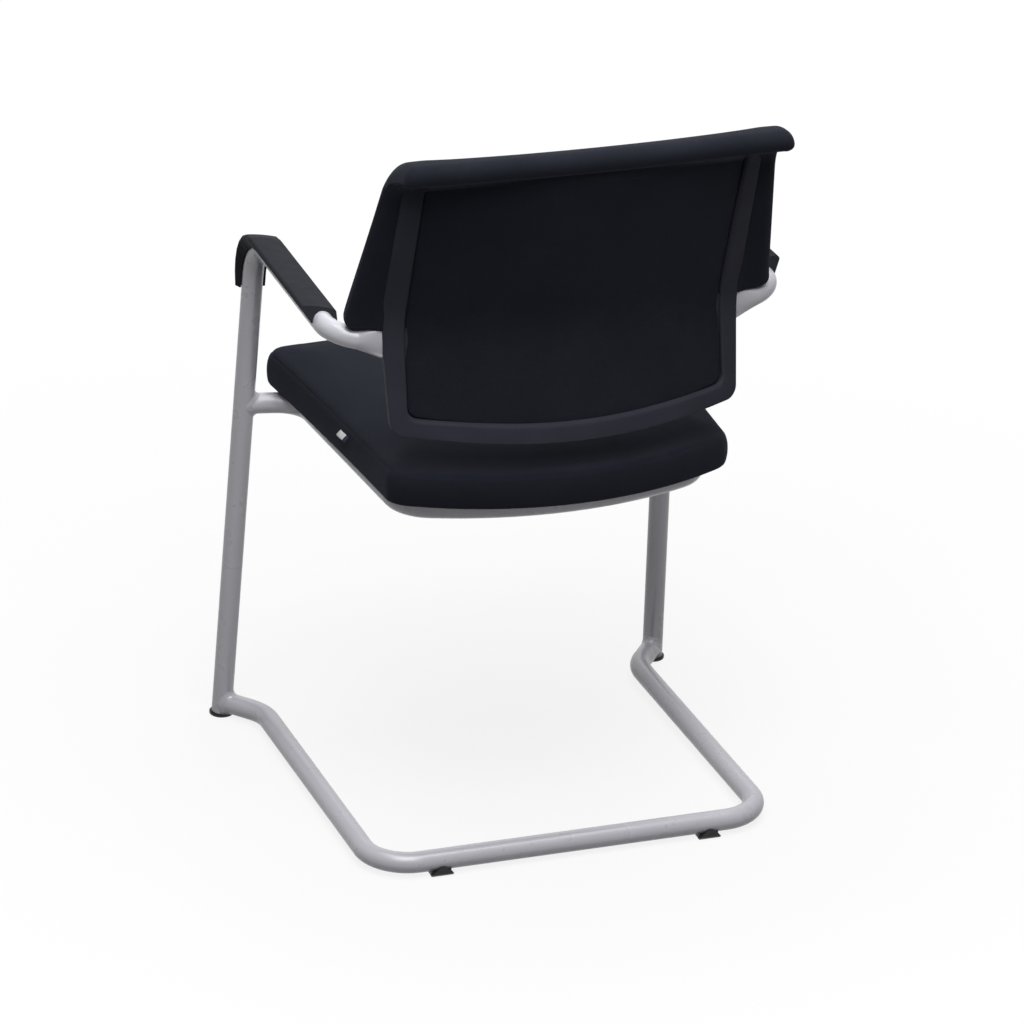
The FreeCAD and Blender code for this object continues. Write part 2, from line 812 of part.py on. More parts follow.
def back_sheet(rear_offset, front_offset, low=None, high=None):
    """Curved sheet between two forward offsets from the backrest's surface."""
    low = size("back_low") if low is None else low
    high = size("back_high") if high is None else high
    sections = []
    for x in STATIONS:
        def place(y, z, x=x):
            return Vector(x, y + plan_bow(x), z)

        rear = back_edges(rear_offset, low, high, place)
        front = back_edges(front_offset, low, high, place)
        top = Part.LineSegment(rear[2].Vertexes[1].Point, front[2].Vertexes[1].Point)
        bottom = Part.LineSegment(front[0].Vertexes[0].Point, rear[0].Vertexes[0].Point)
        loop = rear + [top.toShape()] + front[::-1] + [bottom.toShape()]
        sections.append(Part.Wire(Part.__sortEdges__(loop)))
    return Part.makeLoft(sections, True, False)


def upright_prism(name, corners):
    """Body that pads a closed outline of the XZ plane through the whole backrest."""
    body = doc.addObject("PartDesign::Body", name)
    sketch = new_sketch(body, name + "Outline", "XZ_Plane")
    bent_line(sketch, corners, closed=True)
    doc.recompute()
    pad = body.newObject("PartDesign::Pad", name + "Pad")
    pad.Profile = sketch
    pad.Length = 700.0
    pad.Midplane = True
    doc.recompute()
    return body


def symmetric(half, middle=None):
    """Closed outline from the corners of its right half, with one on the axis."""
    return half + flipped(half) + ([middle] if middle else [])


frame_outline = symmetric(
    [
        ("frame_low_x", "frame_low_height", "frame_corner_radius"),
        ("frame_wide_x", "frame_wide_height", "kink_radius"),
        ("frame_top_x", "back_high+30", "roll_radius"),
    ],
    ("0", "frame_bow_height", "bow_radius"),
)
window_outline = symmetric(
    [
        ("window_x", "window_low_height", "window_corner_radius"),
        ("window_x", "back_high+30", "roll_radius"),
    ],
    ("0", "window_bow_height", "bow_radius"),
)
frame_prism = upright_prism("FramePrism", frame_outline)
window_prism = upright_prism("WindowPrism", window_outline)

frame_sheet = feature("FrameSheet", back_sheet(0.0, size("frame_thickness")))
frame_plate = common("FramePlate", frame_sheet, frame_prism)
frame_ring = cut("FrameRing", frame_plate, window_prism)
doc.recompute()

# Sockets moulded on the frame's front for the flattened arm tips
SOCKET = {"length": 42.0, "height": 47.0, "depth": 20.0}
# How far the arm end screws reach behind the middle of the flattened tip
SCREW_REACH = 5.0


def socket_block(grow=0.0):
    """Box round the left arm's tip, in line with it, larger by grow on every side."""
    up = TIP_REAR.cross(TIP_ALONG)
    length = SOCKET["length"]
    block = Part.makeBox(
        length + 2 * grow,
        SOCKET["depth"] + 2 * grow,
        SOCKET["height"] + 2 * grow,
        Vector(
            -length + 6.0 - grow,
            -SOCKET["depth"] / 2 - 0.5 - grow,
            -SOCKET["height"] / 2 - grow,
        ),
    )
    turn = FreeCAD.Rotation(TIP_ALONG, TIP_REAR.negative(), up, "ZXY")
    block.Placement = FreeCAD.Placement(TIP, turn)
    return block


tip_block = socket_block()
behind_frame = back_sheet(-80.0, 3.0)
tip_block = tip_block.cut(behind_frame)
panel_space = back_sheet(-80.0, size("frame_thickness")).common(window_prism.Shape)
tip_block = tip_block.cut(panel_space)
outline_shape = frame_prism.Shape
tip_block = tip_block.common(outline_shape)
sockets = [tip_block, tip_block.mirror(Vector(), Vector(1, 0, 0))]
socket_pair = feature("SocketPair", Part.makeCompound(sockets))
frame_body = fuse("FrameBody", [frame_ring, socket_pair])
frame_left = cut("FrameLeftSlot", frame_body, side_solid)
frame_slotted = cut("FrameSlotted", frame_left, right_solid)


def both_sides(shapes):
    """Shapes of the left side with their mirror images."""
    return shapes + [shape.mirror(Vector(), Vector(1, 0, 0)) for shape in shapes]


# Screws that hold the curved shell to the uprights of the frame
SHELL_SCREWS = [(203.0, height) for height in (684.0, 756.0, 828.0)]
SHELL_HEAD = 2.8
shell_front = size("frame_thickness") + size("shell_thickness")


def sheet_point(x, height, offset):
    """Point at a forward offset from the backrest's surface."""
    return Vector(x, back_line(height) + plan_bow(x) - offset, height)


def sheet_rear(x):
    """Rearward normal of the backrest above its kink, at x."""
    fall = 2 * size("back_curve") * x / size("upright_x") ** 2
    return Vector(fall, 1, -size("upper_slope")).normalize()


def shell_bores(front, rear, diameter):
    """Cylinders on the left shell screws, between two distances behind the shell's front."""
    return [
        Part.makeCylinder(
            diameter / 2,
            rear - front,
            sheet_point(x, height, shell_front) + sheet_rear(x) * front,
            sheet_rear(x),
        )
        for x, height in SHELL_SCREWS
    ]


SHELL_SHANK = size("shell_screw_diameter") + 0.2
frame_bores = tip_bores(-20.0, SCREW_REACH + 0.2) + shell_bores(0.0, 13.4, SHELL_SHANK)
frame_holes = feature("FrameHoles", Part.makeCompound(both_sides(frame_bores)))
keep(cut("BackFrame", frame_slotted, frame_holes), "back_frame")
doc.recompute()

# Recessed cloth panel inside the frame, and the moulded shell in front of it
panel_sheet = feature("PanelSheet", back_sheet(size("panel_recess"), size("frame_thickness")))
panel_blank = common("PanelBlank", panel_sheet, window_prism)
panel_left = cut("PanelLeftPocket", panel_blank, side_solid)
panel_right = cut("PanelRightPocket", panel_left, right_solid)
keep(cut("BackRearPanel", panel_right, frame_holes), "back_rear_panel")
doc.recompute()

shell_sheet = feature("ShellSheet", back_sheet(size("frame_thickness"), shell_front, 520.0))
shell_prism = upright_prism(
    "ShellPrism",
    symmetric(
        [
            ("window_x", "cushion_low+5", "window_corner_radius"),
            ("window_x", "wing_low_height+2", "window_corner_radius"),
            ("wing_low_x-37", "wing_low_height+10", "window_corner_radius"),
            ("wing_low_x-46", "back_high-10", "window_corner_radius"),
        ]
    ),
)
shell_plate = common("ShellPlate", shell_sheet, shell_prism)
socket_room = both_sides([socket_block(4.5)])
shell_open = cut("ShellOpen", shell_plate, feature("SocketRoom", Part.makeCompound(socket_room)))
shell_holes = both_sides(
    shell_bores(-1.0, 20.0, SHELL_SHANK)
    + shell_bores(-1.0, SHELL_HEAD + 0.2, size("shell_head_diameter") + 0.4)
)
shell_cut = cut("BackShell", shell_open, feature("ShellHoles", Part.makeCompound(shell_holes)))
keep(shell_cut, "back_shell")
doc.recompute()


def set_screws(name, label, screw, places):
    """Group of screws on both sides, from the left ones' points and directions."""
    left = []
    for point, direction in places:
        copy = screw.copy()
        copy.Placement = FreeCAD.Placement(point, FreeCAD.Rotation(Vector(0, 0, 1), direction))
        left.append(copy)
    return keep(feature(name, Part.makeCompound(both_sides(left))), label)


socket_front = -SOCKET["depth"] / 2 + 0.5
set_screws(
    "ArmEndScrews",
    "arm_end_screws",
    pan_screw(SCREW_REACH - socket_front),
    [(point + TIP_REAR * socket_front, TIP_REAR) for point in TIP_SCREWS],
)
shell_screw = pan_screw(
    10.4, SHELL_HEAD, size("shell_screw_diameter"), size("shell_head_diameter")
)
set_screws(
    "BackShellScrews",
    "back_shell_screws",
    shell_screw,
    [
        (sheet_point(x, z, shell_front) + sheet_rear(x) * (SHELL_HEAD + 0.2), sheet_rear(x))
        for x, z in SHELL_SCREWS
    ],
)


# Back cushion: wings beside the frame, lumbar crown in front, rolled top edge
def arc_from(start, direction, end):
    """Arc that leaves start along direction and stops at end."""
    direction = Vector(direction).normalize()
    chord = end - start
    normal = chord - direction * chord.dot(direction)
    if normal.Length < 1e-3:
        return Part.LineSegment(start, end).toShape()
    normal.normalize()
    radius = chord.dot(chord) / (2 * chord.dot(normal))
    centre = start + normal * radius
    middle = centre - (centre - (start + end) * 0.5).normalize() * radius
    return Part.Arc(start, middle, end).toShape()


def wing_edge(height):
    """Half width of the back cushion at a height."""
    return size("wing_low_x") - size("wing_taper") * (height - size("wing_low_height"))


def back_cushion_section(share, thickness, top_thickness, pinch):
    """Side-view section of the back cushion at a share of its half width.

    The thickness runs from that of the waist to that of the top; pinch is how far the
    section closes on its middle line, for the rounded edges of the wings.
    """
    reach = min(abs(share) * 245.0, size("upright_x"))
    bow = plan_bow(reach)
    rear = size("wing_step") + pinch * thickness / 2
    front = size("wing_step") + thickness * (1 - pinch / 2)
    top_rear = size("wing_step") + pinch * top_thickness / 2
    top_front = size("wing_step") + top_thickness * (1 - pinch / 2)

    def place(y, z):
        return Vector(share * wing_edge(z), y, z)

    def on_line(height, offset):
        return place(back_line(height) + bow - offset, height)

    low = size("cushion_low") + 10 * pinch
    curl = size("back_high") - 38.0 * (1 - bow / size("back_curve")) - 4.0
    rear_edges = back_edges(rear - bow, low, curl, place, top_rear - bow)
    radius = size("roll_radius") * (1 - 0.8 * pinch)
    tuck = math.radians(-112.0 + 42.0 * bow / size("back_curve"))
    middle_y = size("roll_y")
    middle_z = size("roll_height") - size("roll_dip") * bow / size("back_curve")
    roll_low = place(middle_y + radius * math.cos(tuck), middle_z + radius * math.sin(tuck))
    roll_rear = place(middle_y + radius * math.cos(0.2), middle_z + radius * math.sin(0.2))
    roll_top = place(middle_y + radius * math.cos(1.7), middle_z + radius * math.sin(1.7))
    shoulder = on_line(832.0, top_front)
    waist = on_line(645.0, front + 2.0)
    hem = on_line(560.0, front - 6.0)
    toe = place(back_line(low) + bow - rear - (front - rear) * 0.35, low)
    heel = rear_edges[0].Vertexes[0].Point
    neck = rear_edges[2].Vertexes[1].Point
    up = neck - rear_edges[2].Vertexes[0].Point
    edges = rear_edges + [arc_from(neck, up, roll_low)]
    lower_mid = place(
        middle_y + radius * math.cos((tuck + 0.2) / 2),
        middle_z + radius * math.sin((tuck + 0.2) / 2),
    )
    upper_mid = place(middle_y + radius * math.cos(0.95), middle_z + radius * math.sin(0.95))
    edges.append(Part.Arc(roll_low, lower_mid, roll_rear).toShape())
    edges.append(Part.Arc(roll_rear, upper_mid, roll_top).toShape())
    forward = place(middle_y - 10.0, middle_z) - place(middle_y, middle_z)
    edges.append(arc_from(roll_top, forward, shoulder))
    edges.append(Part.LineSegment(shoulder, waist).toShape())
    edges.append(arc_from(waist, waist - shoulder, hem))
    edges.append(arc_from(hem, place(0.1, -1.0) - place(0.0, 0.0), toe))
    edges.append(Part.LineSegment(toe, heel).toShape())
    return Part.Wire(edges)


MIDDLE, EDGE = size("cushion_thickness"), size("wing_thickness")
MIDDLE_TOP, EDGE_TOP = size("cushion_top_thickness"), size("wing_top_thickness")
SECTIONS = []
for share in (0.0, 0.16, 0.32, 0.48, 0.64, 0.78, 0.88, 0.95, 0.975, 0.992, 1.0):
    blend = min(share / 0.95, 1.0) ** 2
    waist_size = MIDDLE + (EDGE - MIDDLE) * blend
    top_size = MIDDLE_TOP + (EDGE_TOP - MIDDLE_TOP) * blend
    SECTIONS.append((share, waist_size, top_size, 0.7 * max(share - 0.95, 0.0) / 0.05))
far_sections = [back_cushion_section(-row[0], *row[1:]) for row in reversed(SECTIONS[1:])]
near_sections = [back_cushion_section(*row) for row in SECTIONS]
cushion_loft = feature(
    "BackCushionLoft", Part.makeLoft(far_sections + near_sections, True, False)
)

notch_prism = upright_prism(
    "NotchPrism",
    [
        ("window_x-3", "back_low-20", "window_corner_radius"),
        ("window_x-3", "wing_low_height-10", "window_corner_radius"),
        ("wing_low_x+40", "wing_low_height+4", "window_corner_radius"),
        ("wing_low_x+40", "back_low-20", "window_corner_radius"),
    ],
)
notch_right = doc.addObject("Part::Mirroring", "NotchMirror")
notch_right.Source = notch_prism
notch_right.Normal = Vector(1, 0, 0)
rebate_sheet = feature("RebateSheet", back_sheet(-60.0, size("frame_thickness")))
rebate = common("Rebate", rebate_sheet, frame_prism)
socket_space = feature("SocketSpace", Part.makeCompound([room.copy() for room in socket_room]))
doc.recompute()
cushion_tool = fuse(
    "CushionTool", [notch_prism, notch_right, rebate, shell_plate, socket_space]
)
cushion_body = cut("CushionBody", cushion_loft, cushion_tool)
cushion_left = cut("CushionLeftGroove", cushion_body, side_solid)
keep(cut("BackCushion", cushion_left, right_solid), "back_cushion")
doc.recompute()


# Arm pads: one section carried over the arm and round the elbow, thinner to the front
def pad_section(centre, along, outward, share):
    """Closed section of the pad with its channel for the tube.

    outward points away from the sitter; along is the way to the front. share is how much
    of the full thickness and outer width is left.
    """
    up = along.cross(outward).normalize()
    radius = size("tube_diameter") / 2 + 0.5
    lip = 1.5
    inner = -size("pad_inner")
    outer = size("pad_outer") * (1 - (1 - share) * 0.65)
    low_top = size("pad_top_inner") + (share - 1) * 2.0
    high_top = size("pad_top_outer") * share

    def at(across, rise):
        return centre + outward * across + up * rise

    def line(*ends):
        return Part.LineSegment(*[at(*end) for end in ends]).toShape()

    def arc(*marks):
        return Part.Arc(*[at(*mark) for mark in marks]).toShape()

    channel = [(radius, lip), (0, radius), (-radius, lip)]
    inner_round = [(inner, low_top - 3), (inner + 1.0, low_top - 0.6), (inner + 3.5, low_top + 0.4)]
    top_middle = (3.0, (low_top + high_top) / 2 + 1.0)
    outer_round = [(outer - 3.5, high_top), (outer - 0.9, high_top - 1.2), (outer, high_top - 4.0)]
    return Part.Wire(
        [
            arc(*channel),
            line(channel[2], (inner, lip)),
            line((inner, lip), inner_round[0]),
            arc(*inner_round),
            arc(inner_round[2], top_middle, outer_round[0]),
            arc(*outer_round),
            line(outer_round[2], (radius + 1.6, lip)),
            line((radius + 1.6, lip), channel[0]),
        ]
    )


arm_run = (HOOK - ELBOW).normalize()
leg_run = (leg_point(0) - ELBOW).normalize()
pad_normal = leg_run.cross(arm_run).normalize()
if pad_normal.x < 0:
    pad_normal = pad_normal.negative()
elbow_half = arm_run.getAngle(leg_run) / 2
elbow_reach = size("elbow_radius") / math.tan(elbow_half)
elbow_centre = ELBOW + (arm_run + leg_run).normalize() * (
    size("elbow_radius") / math.sin(elbow_half)
)
rear_end = ELBOW + arm_run * ((size("pad_rear_y") + 12.0 - ELBOW.y) / arm_run.y)
bend_start = ELBOW + arm_run * elbow_reach
front_end = leg_point(size("pad_front_height"))
bend_turn = math.pi - 2 * elbow_half
pad_stops = [(rear_end, arm_run.negative(), 1.0), (bend_start, arm_run.negative(), 1.0)]
BEND_STEPS = 6
for step in range(1, BEND_STEPS + 1):
    spoke = bend_start - elbow_centre
    turn = FreeCAD.Rotation(pad_normal, math.degrees(bend_turn) * step / BEND_STEPS)
    spot = elbow_centre + turn.multVec(spoke)
    pad_stops.append((spot, turn.multVec(arm_run.negative()), 1.0 - 0.30 * step / BEND_STEPS))
pad_stops.append((front_end, leg_run, 0.62))
pad_loft = Part.makeLoft([pad_section(c, a, pad_normal, w) for c, a, w in pad_stops], True, True)
pad_blank = feature("PadBlank", pad_loft)
end_plane = Part.makeBox(120, 60, 60, Vector(-60, 0, -30))
end_plane.rotate(Vector(), Vector(1, 0, 0), 32)
end_plane.translate(Vector(rear_end.x, size("pad_rear_y"), rear_end.z + 8.0))
pad_trim = feature("PadTrim", end_plane)
arm_pad = keep(cut("ArmPad", pad_blank, pad_trim), "arm_pad_left")
doc.recompute()
mirrored(arm_pad, "arm_pad_right")


# Glides
def front_glide():
    """Rounded shoe under a leg with a plug that fills the tube's bore."""
    axis = (leg_point(100) - leg_point(0)).normalize()
    low = leg_point(0)
    shoe = Part.makeCylinder(15.0, size("leg_bottom") - 1.3, low)
    shoe = shoe.makeFillet(1.6, [edge for edge in shoe.Edges if edge.BoundBox.ZMax < 0.1])
    bore = size("tube_diameter") - 2 * size("tube_wall")
    plug = Part.makeCylinder(bore / 2 - 0.1, 26.0, low + axis * 2.0, axis)
    tilt = Part.makeCylinder(13.6, 3.0, low + axis * (size("leg_bottom") - 3.1), axis)
    run = flat_vector("runner_x", "front_bend_y", size("floor_height")) - LEG_AT_FLOOR
    level = Part.makeCylinder(size("tube_diameter") / 2 + 0.1, 60.0, LEG_AT_FLOOR, run)
    tilt = tilt.cut(level)
    return shoe.common(Part.makeBox(60, 60, 20, low + Vector(-30, -30, 0))).fuse(
        plug
    ).fuse(tilt).removeSplitter()


glide = keep(feature("FrontGlide", front_glide()), "front_glide_left")
mirrored(glide, "front_glide_right")


def rear_glide():
    """Clip under the crossbar: a saddle with a pointed rear cheek and a pin."""
    radius = size("tube_diameter") / 2
    centre = Vector(size("rear_glide_x"), size("crossbar_y"), size("floor_height"))
    saddle = Part.makeBox(25.0, 18.0, 9.0, Vector(centre.x - 12.5, centre.y - 9, 0))
    saddle = saddle.makeFillet(
        3.0, [edge for edge in saddle.Edges if edge.BoundBox.ZLength > 8.9]
    )
    half = [(12.5, 0.0), (14.0, 1.6), (13.0, 3.6), (2.6, 12.4), (0.0, 13.2)]
    outline = half + [(-x, z) for x, z in reversed(half[:-1])] + half[:1]
    cheek_points = [Vector(centre.x + x, centre.y + 8.0, z) for x, z in outline]
    cheek = Part.Face(Part.makePolygon(cheek_points)).extrude(Vector(0, 5.5, 0))
    rear_y = centre.y + 13.5
    heel = [(rear_y - 3.0, -1.0), (rear_y + 1.0, -1.0), (rear_y + 1.0, 4.2), (rear_y - 3.0, 0.0)]
    heel_points = [Vector(centre.x - 20.0, y, z) for y, z in heel + heel[:1]]
    cheek = cheek.cut(Part.Face(Part.makePolygon(heel_points)).extrude(Vector(40.0, 0, 0)))
    pin = Part.makeCylinder(3.0, 8.0, Vector(centre.x, centre.y, centre.z - radius - 1.0))
    tube = Part.makeCylinder(radius, 60.0, centre - Vector(30, 0, 0), Vector(1, 0, 0))
    return saddle.fuse(cheek).cut(tube).fuse(pin.cut(tube)).removeSplitter()


clip = keep(feature("RearGlide", rear_glide()), "rear_glide_left")
mirrored(clip, "rear_glide_right")
doc.recompute()


# Check and export
def check(item):
    """Stop if an object failed or its shape is unusable."""
    if "Invalid" in item.State or "Error" in item.State:
        raise RuntimeError(f"{item.Label}: {item.State}")


for item in doc.Objects:
    check(item)
os.makedirs("parts", exist_ok=True)
for item in parts:
    shape = item.Shape
    if shape.isNull() or not shape.isValid() or not shape.Solids:
        raise RuntimeError(f"{item.Label} has no valid solid")
    if any(solid.Volume <= 0 for solid in shape.Solids):
        raise RuntimeError(f"{item.Label} has an inside-out solid")
    shape.exportStep(f"parts/{item.Label}.step")
    box = shape.BoundBox
    print(
        f"{item.Label}: {len(shape.Solids)} solid, {shape.Volume / 1000:.1f} cm3,"
        f" x {box.XMin:.1f} {box.XMax:.1f} y {box.YMin:.1f} {box.YMax:.1f}"
        f" z {box.ZMin:.1f} {box.ZMax:.1f}"
    )
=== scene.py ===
"""Looks of the cantilever visitor armchair: cloth, coat, plastics, light and camera.

Lengths in the classes are millimetres in the part's own frame: +Z is up, the sitter faces
-Y and the sitter's left is +X. Meshes are written in metres.
"""

import logging
import math
from dataclasses import dataclass, field
from enum import Enum
from typing import Callable

import bmesh
import bpy
import numpy as np
from mathutils import Matrix


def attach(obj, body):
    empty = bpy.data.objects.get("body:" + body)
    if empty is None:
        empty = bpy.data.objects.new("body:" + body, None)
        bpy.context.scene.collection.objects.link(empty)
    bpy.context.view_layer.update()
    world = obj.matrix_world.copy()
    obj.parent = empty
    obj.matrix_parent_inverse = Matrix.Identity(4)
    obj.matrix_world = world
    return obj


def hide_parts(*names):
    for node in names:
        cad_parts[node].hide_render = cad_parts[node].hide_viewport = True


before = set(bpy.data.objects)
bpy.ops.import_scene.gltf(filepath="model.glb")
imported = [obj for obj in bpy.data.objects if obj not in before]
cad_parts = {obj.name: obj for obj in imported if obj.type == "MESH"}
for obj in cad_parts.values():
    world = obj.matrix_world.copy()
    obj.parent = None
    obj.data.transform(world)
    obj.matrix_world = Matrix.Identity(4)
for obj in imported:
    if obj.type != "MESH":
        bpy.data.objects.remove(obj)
LOG = logging.getLogger("armchair")
MM = 0.001
Array = np.ndarray
Colour = tuple[float, float, float]
Point = tuple[float, float, float]
Profile = tuple[tuple[float, float], ...]
Socket = bpy.types.NodeSocket
Mapping = Callable[[Array], Array]
Outline = Callable[[float], Array]
SWELL_FRAMES = 20
SWELL_QUALITY = 6
EVENING_ROUNDS = 40
CORNER_POINTS = 25
BEND_POINTS = 21
SIDE_POINTS = 60


# ---------------------------------------------------------------------------- curves
def arc_through(start: Array, middle: Array, end: Array, count: int) -> Array:
    """Points of the circle through three points of a plane, evenly turned.

    The centre c is equally far from the three points; point k is c plus the start's
    spoke turned by its share of the whole angle.

    Args:
        start, middle, end: the three points, (2,) each.
        count: how many points, ends included.
    Returns:
        (count, 2) points.
    """
    rows = 2 * np.array([middle - start, end - start])
    values = np.array([middle @ middle - start @ start, end @ end - start @ start])
    if abs(np.linalg.det(rows)) < 1e-9:
        return np.linspace(start, end, count)
    centre = np.linalg.solve(rows, values)
    turns = [math.atan2(*(point - centre)[::-1]) for point in (start, middle, end)]
    half = (turns[1] - turns[0] + math.pi) % (2 * math.pi) - math.pi
    rest = (turns[2] - turns[1] + math.pi) % (2 * math.pi) - math.pi
    angles = turns[0] + np.linspace(0.0, half + rest, count)
    radius = np.linalg.norm(start - centre)
    return centre + radius * np.stack([np.cos(angles), np.sin(angles)], -1)


def arc_from(start: Array, direction: Array, end: Array, count: int) -> Array:
    """Arcs that leave start along direction and stop at end, one for each row.

    With the chord c and the unit normal n on its side, the radius is c.c / (2 c.n), and
    the arc turns from the start by twice the angle between direction and chord.

    Args:
        start, direction, end: (M, 2) each.
        count: points along each arc, ends included.
    Returns:
        (M, count, 2) points.
    """
    direction = direction / np.linalg.norm(direction, axis=1, keepdims=True)
    chord = end - start
    normal = np.stack([-direction[:, 1], direction[:, 0]], -1)
    across = np.sum(chord * normal, 1)
    across = np.where(np.abs(across) < 1e-6, 1e-6, across)
    along = np.sum(chord * direction, 1)
    radius = np.sum(chord * chord, 1) / (2 * across)
    turn = 2 * np.arctan2(across, along)
    angle = turn[:, None] * np.linspace(0.0, 1.0, count)
    ahead = radius[:, None] * np.sin(angle)
    aside = radius[:, None] * (1 - np.cos(angle))
    forward = ahead[..., None] * direction[:, None]
    return start[:, None] + forward + aside[..., None] * normal[:, None]


def resampled(points: Array, count: int) -> Array:
    """Polyline at evenly spaced distances, ends included.

    Args:
        points: (K, D) corners.
        count: how many points.
    Returns:
        (count, D) points.
    """
    steps = np.linalg.norm(np.diff(points, axis=0), axis=1)
    way = np.concatenate([[0.0], np.cumsum(steps)])
    marks = np.linspace(0.0, way[-1], count)
    return np.stack([np.interp(marks, way, points[:, k]) for k in range(points.shape[1])], -1)


def smooth_step(value: Array, low: float, high: float) -> Array:
    """Share that rises from 0 at low to 1 at high as 3t^2 - 2t^3."""
    share = np.clip((np.asarray(value, float) - low) / (high - low), 0.0, 1.0)
    return share * share * (3 - 2 * share)


# ---------------------------------------------------------------------------- meshes
@dataclass
class MeshBuilder:
    """Collects grids of points and their faces, and writes them as one closed mesh."""

    points: list[Array] = field(default_factory=list)
    quads: list[Array] = field(default_factory=list)
    cloth_map: list[Array] = field(default_factory=list)
    total: int = 0

    def add_points(self, points: Array) -> int:
        """Adds points to the mesh.

        Args:
            points: (..., 3) places.
        Returns:
            Index of the first of them.
        """
        flat = points.reshape(-1, 3)
        self.points.append(flat)
        first = self.total
        self.total += len(flat)
        return first

    def add_index_grid(self, index: Array, cloth: Array) -> None:
        """Adds the quads of a grid of point indices.

        Args:
            index: (R, C) point indices.
            cloth: (R, C, 2) place of each grid point on the flat cloth, in millimetres.
        """
        corners = [(0, 0), (0, 1), (1, 1), (1, 0)]
        rows, cols = index.shape

        def spread(values: Array) -> Array:
            """The four corners' values of every quad.

            Args:
                values: (R, C, ...) one value for each grid point.
            Returns:
                (R - 1, C - 1, 4, ...) values.
            """
            return np.stack(
                [values[a : rows - 1 + a, b : cols - 1 + b] for a, b in corners], 2
            )

        self.quads.append(spread(index).reshape(-1, 4))
        self.cloth_map.append(spread(cloth).reshape(-1, 4, 2))

    def add_tube(self, rings: Array) -> int:
        """Adds closed rings joined one to the next.

        The cloth runs round the ring and along from ring to ring, by true distance.

        Args:
            rings: (M, N, 3) points.
        Returns:
            Index of the first point.
        """
        first = self.add_points(rings)
        count, around = rings.shape[:2]
        index = first + np.arange(count * around).reshape(count, around)
        index = np.concatenate([index, index[:, :1]], 1)
        middle = rings[count // 2]
        sides = np.linalg.norm(np.roll(middle, -1, 0) - middle, axis=1)
        round_way = np.concatenate([[0.0], np.cumsum(sides)])
        steps = np.linalg.norm(np.diff(rings, axis=0), axis=2).mean(1)
        long_way = np.concatenate([[0.0], np.cumsum(steps)])
        cloth = np.stack(np.meshgrid(round_way, long_way), -1)
        self.add_index_grid(index, cloth)
        return first

    def write(self, name: str, place: Mapping | None = None) -> bpy.types.Object:
        """Makes the mesh object.

        Args:
            name: the piece's name.
            place: turns (K, 3) points into their place in the part's frame.
        Returns:
            The object, linked, smooth, with its faces pointing outwards.
        """
        points = np.concatenate(self.points)
        if place is not None:
            points = place(points)
        quads = np.concatenate(self.quads)
        cloth = np.concatenate(self.cloth_map)
        mesh = bpy.data.meshes.new(name)
        mesh.from_pydata((points * MM).tolist(), [], quads.tolist())
        layer = mesh.uv_layers.new(name="cloth")
        layer.data.foreach_set("uv", (cloth * MM).ravel())
        mesh.polygons.foreach_set("use_smooth", np.ones(len(quads), bool))
        turned = bmesh.new()
        turned.from_mesh(mesh)
        bmesh.ops.remove_doubles(turned, verts=turned.verts, dist=1e-6)
        bmesh.ops.recalc_face_normals(turned, faces=turned.faces)
        if turned.calc_volume(signed=True) < 0:
            bmesh.ops.reverse_faces(turned, faces=turned.faces)
        turned.to_mesh(mesh)
        turned.free()
        piece = bpy.data.objects.new(name, mesh)
        bpy.context.scene.collection.objects.link(piece)
        return piece


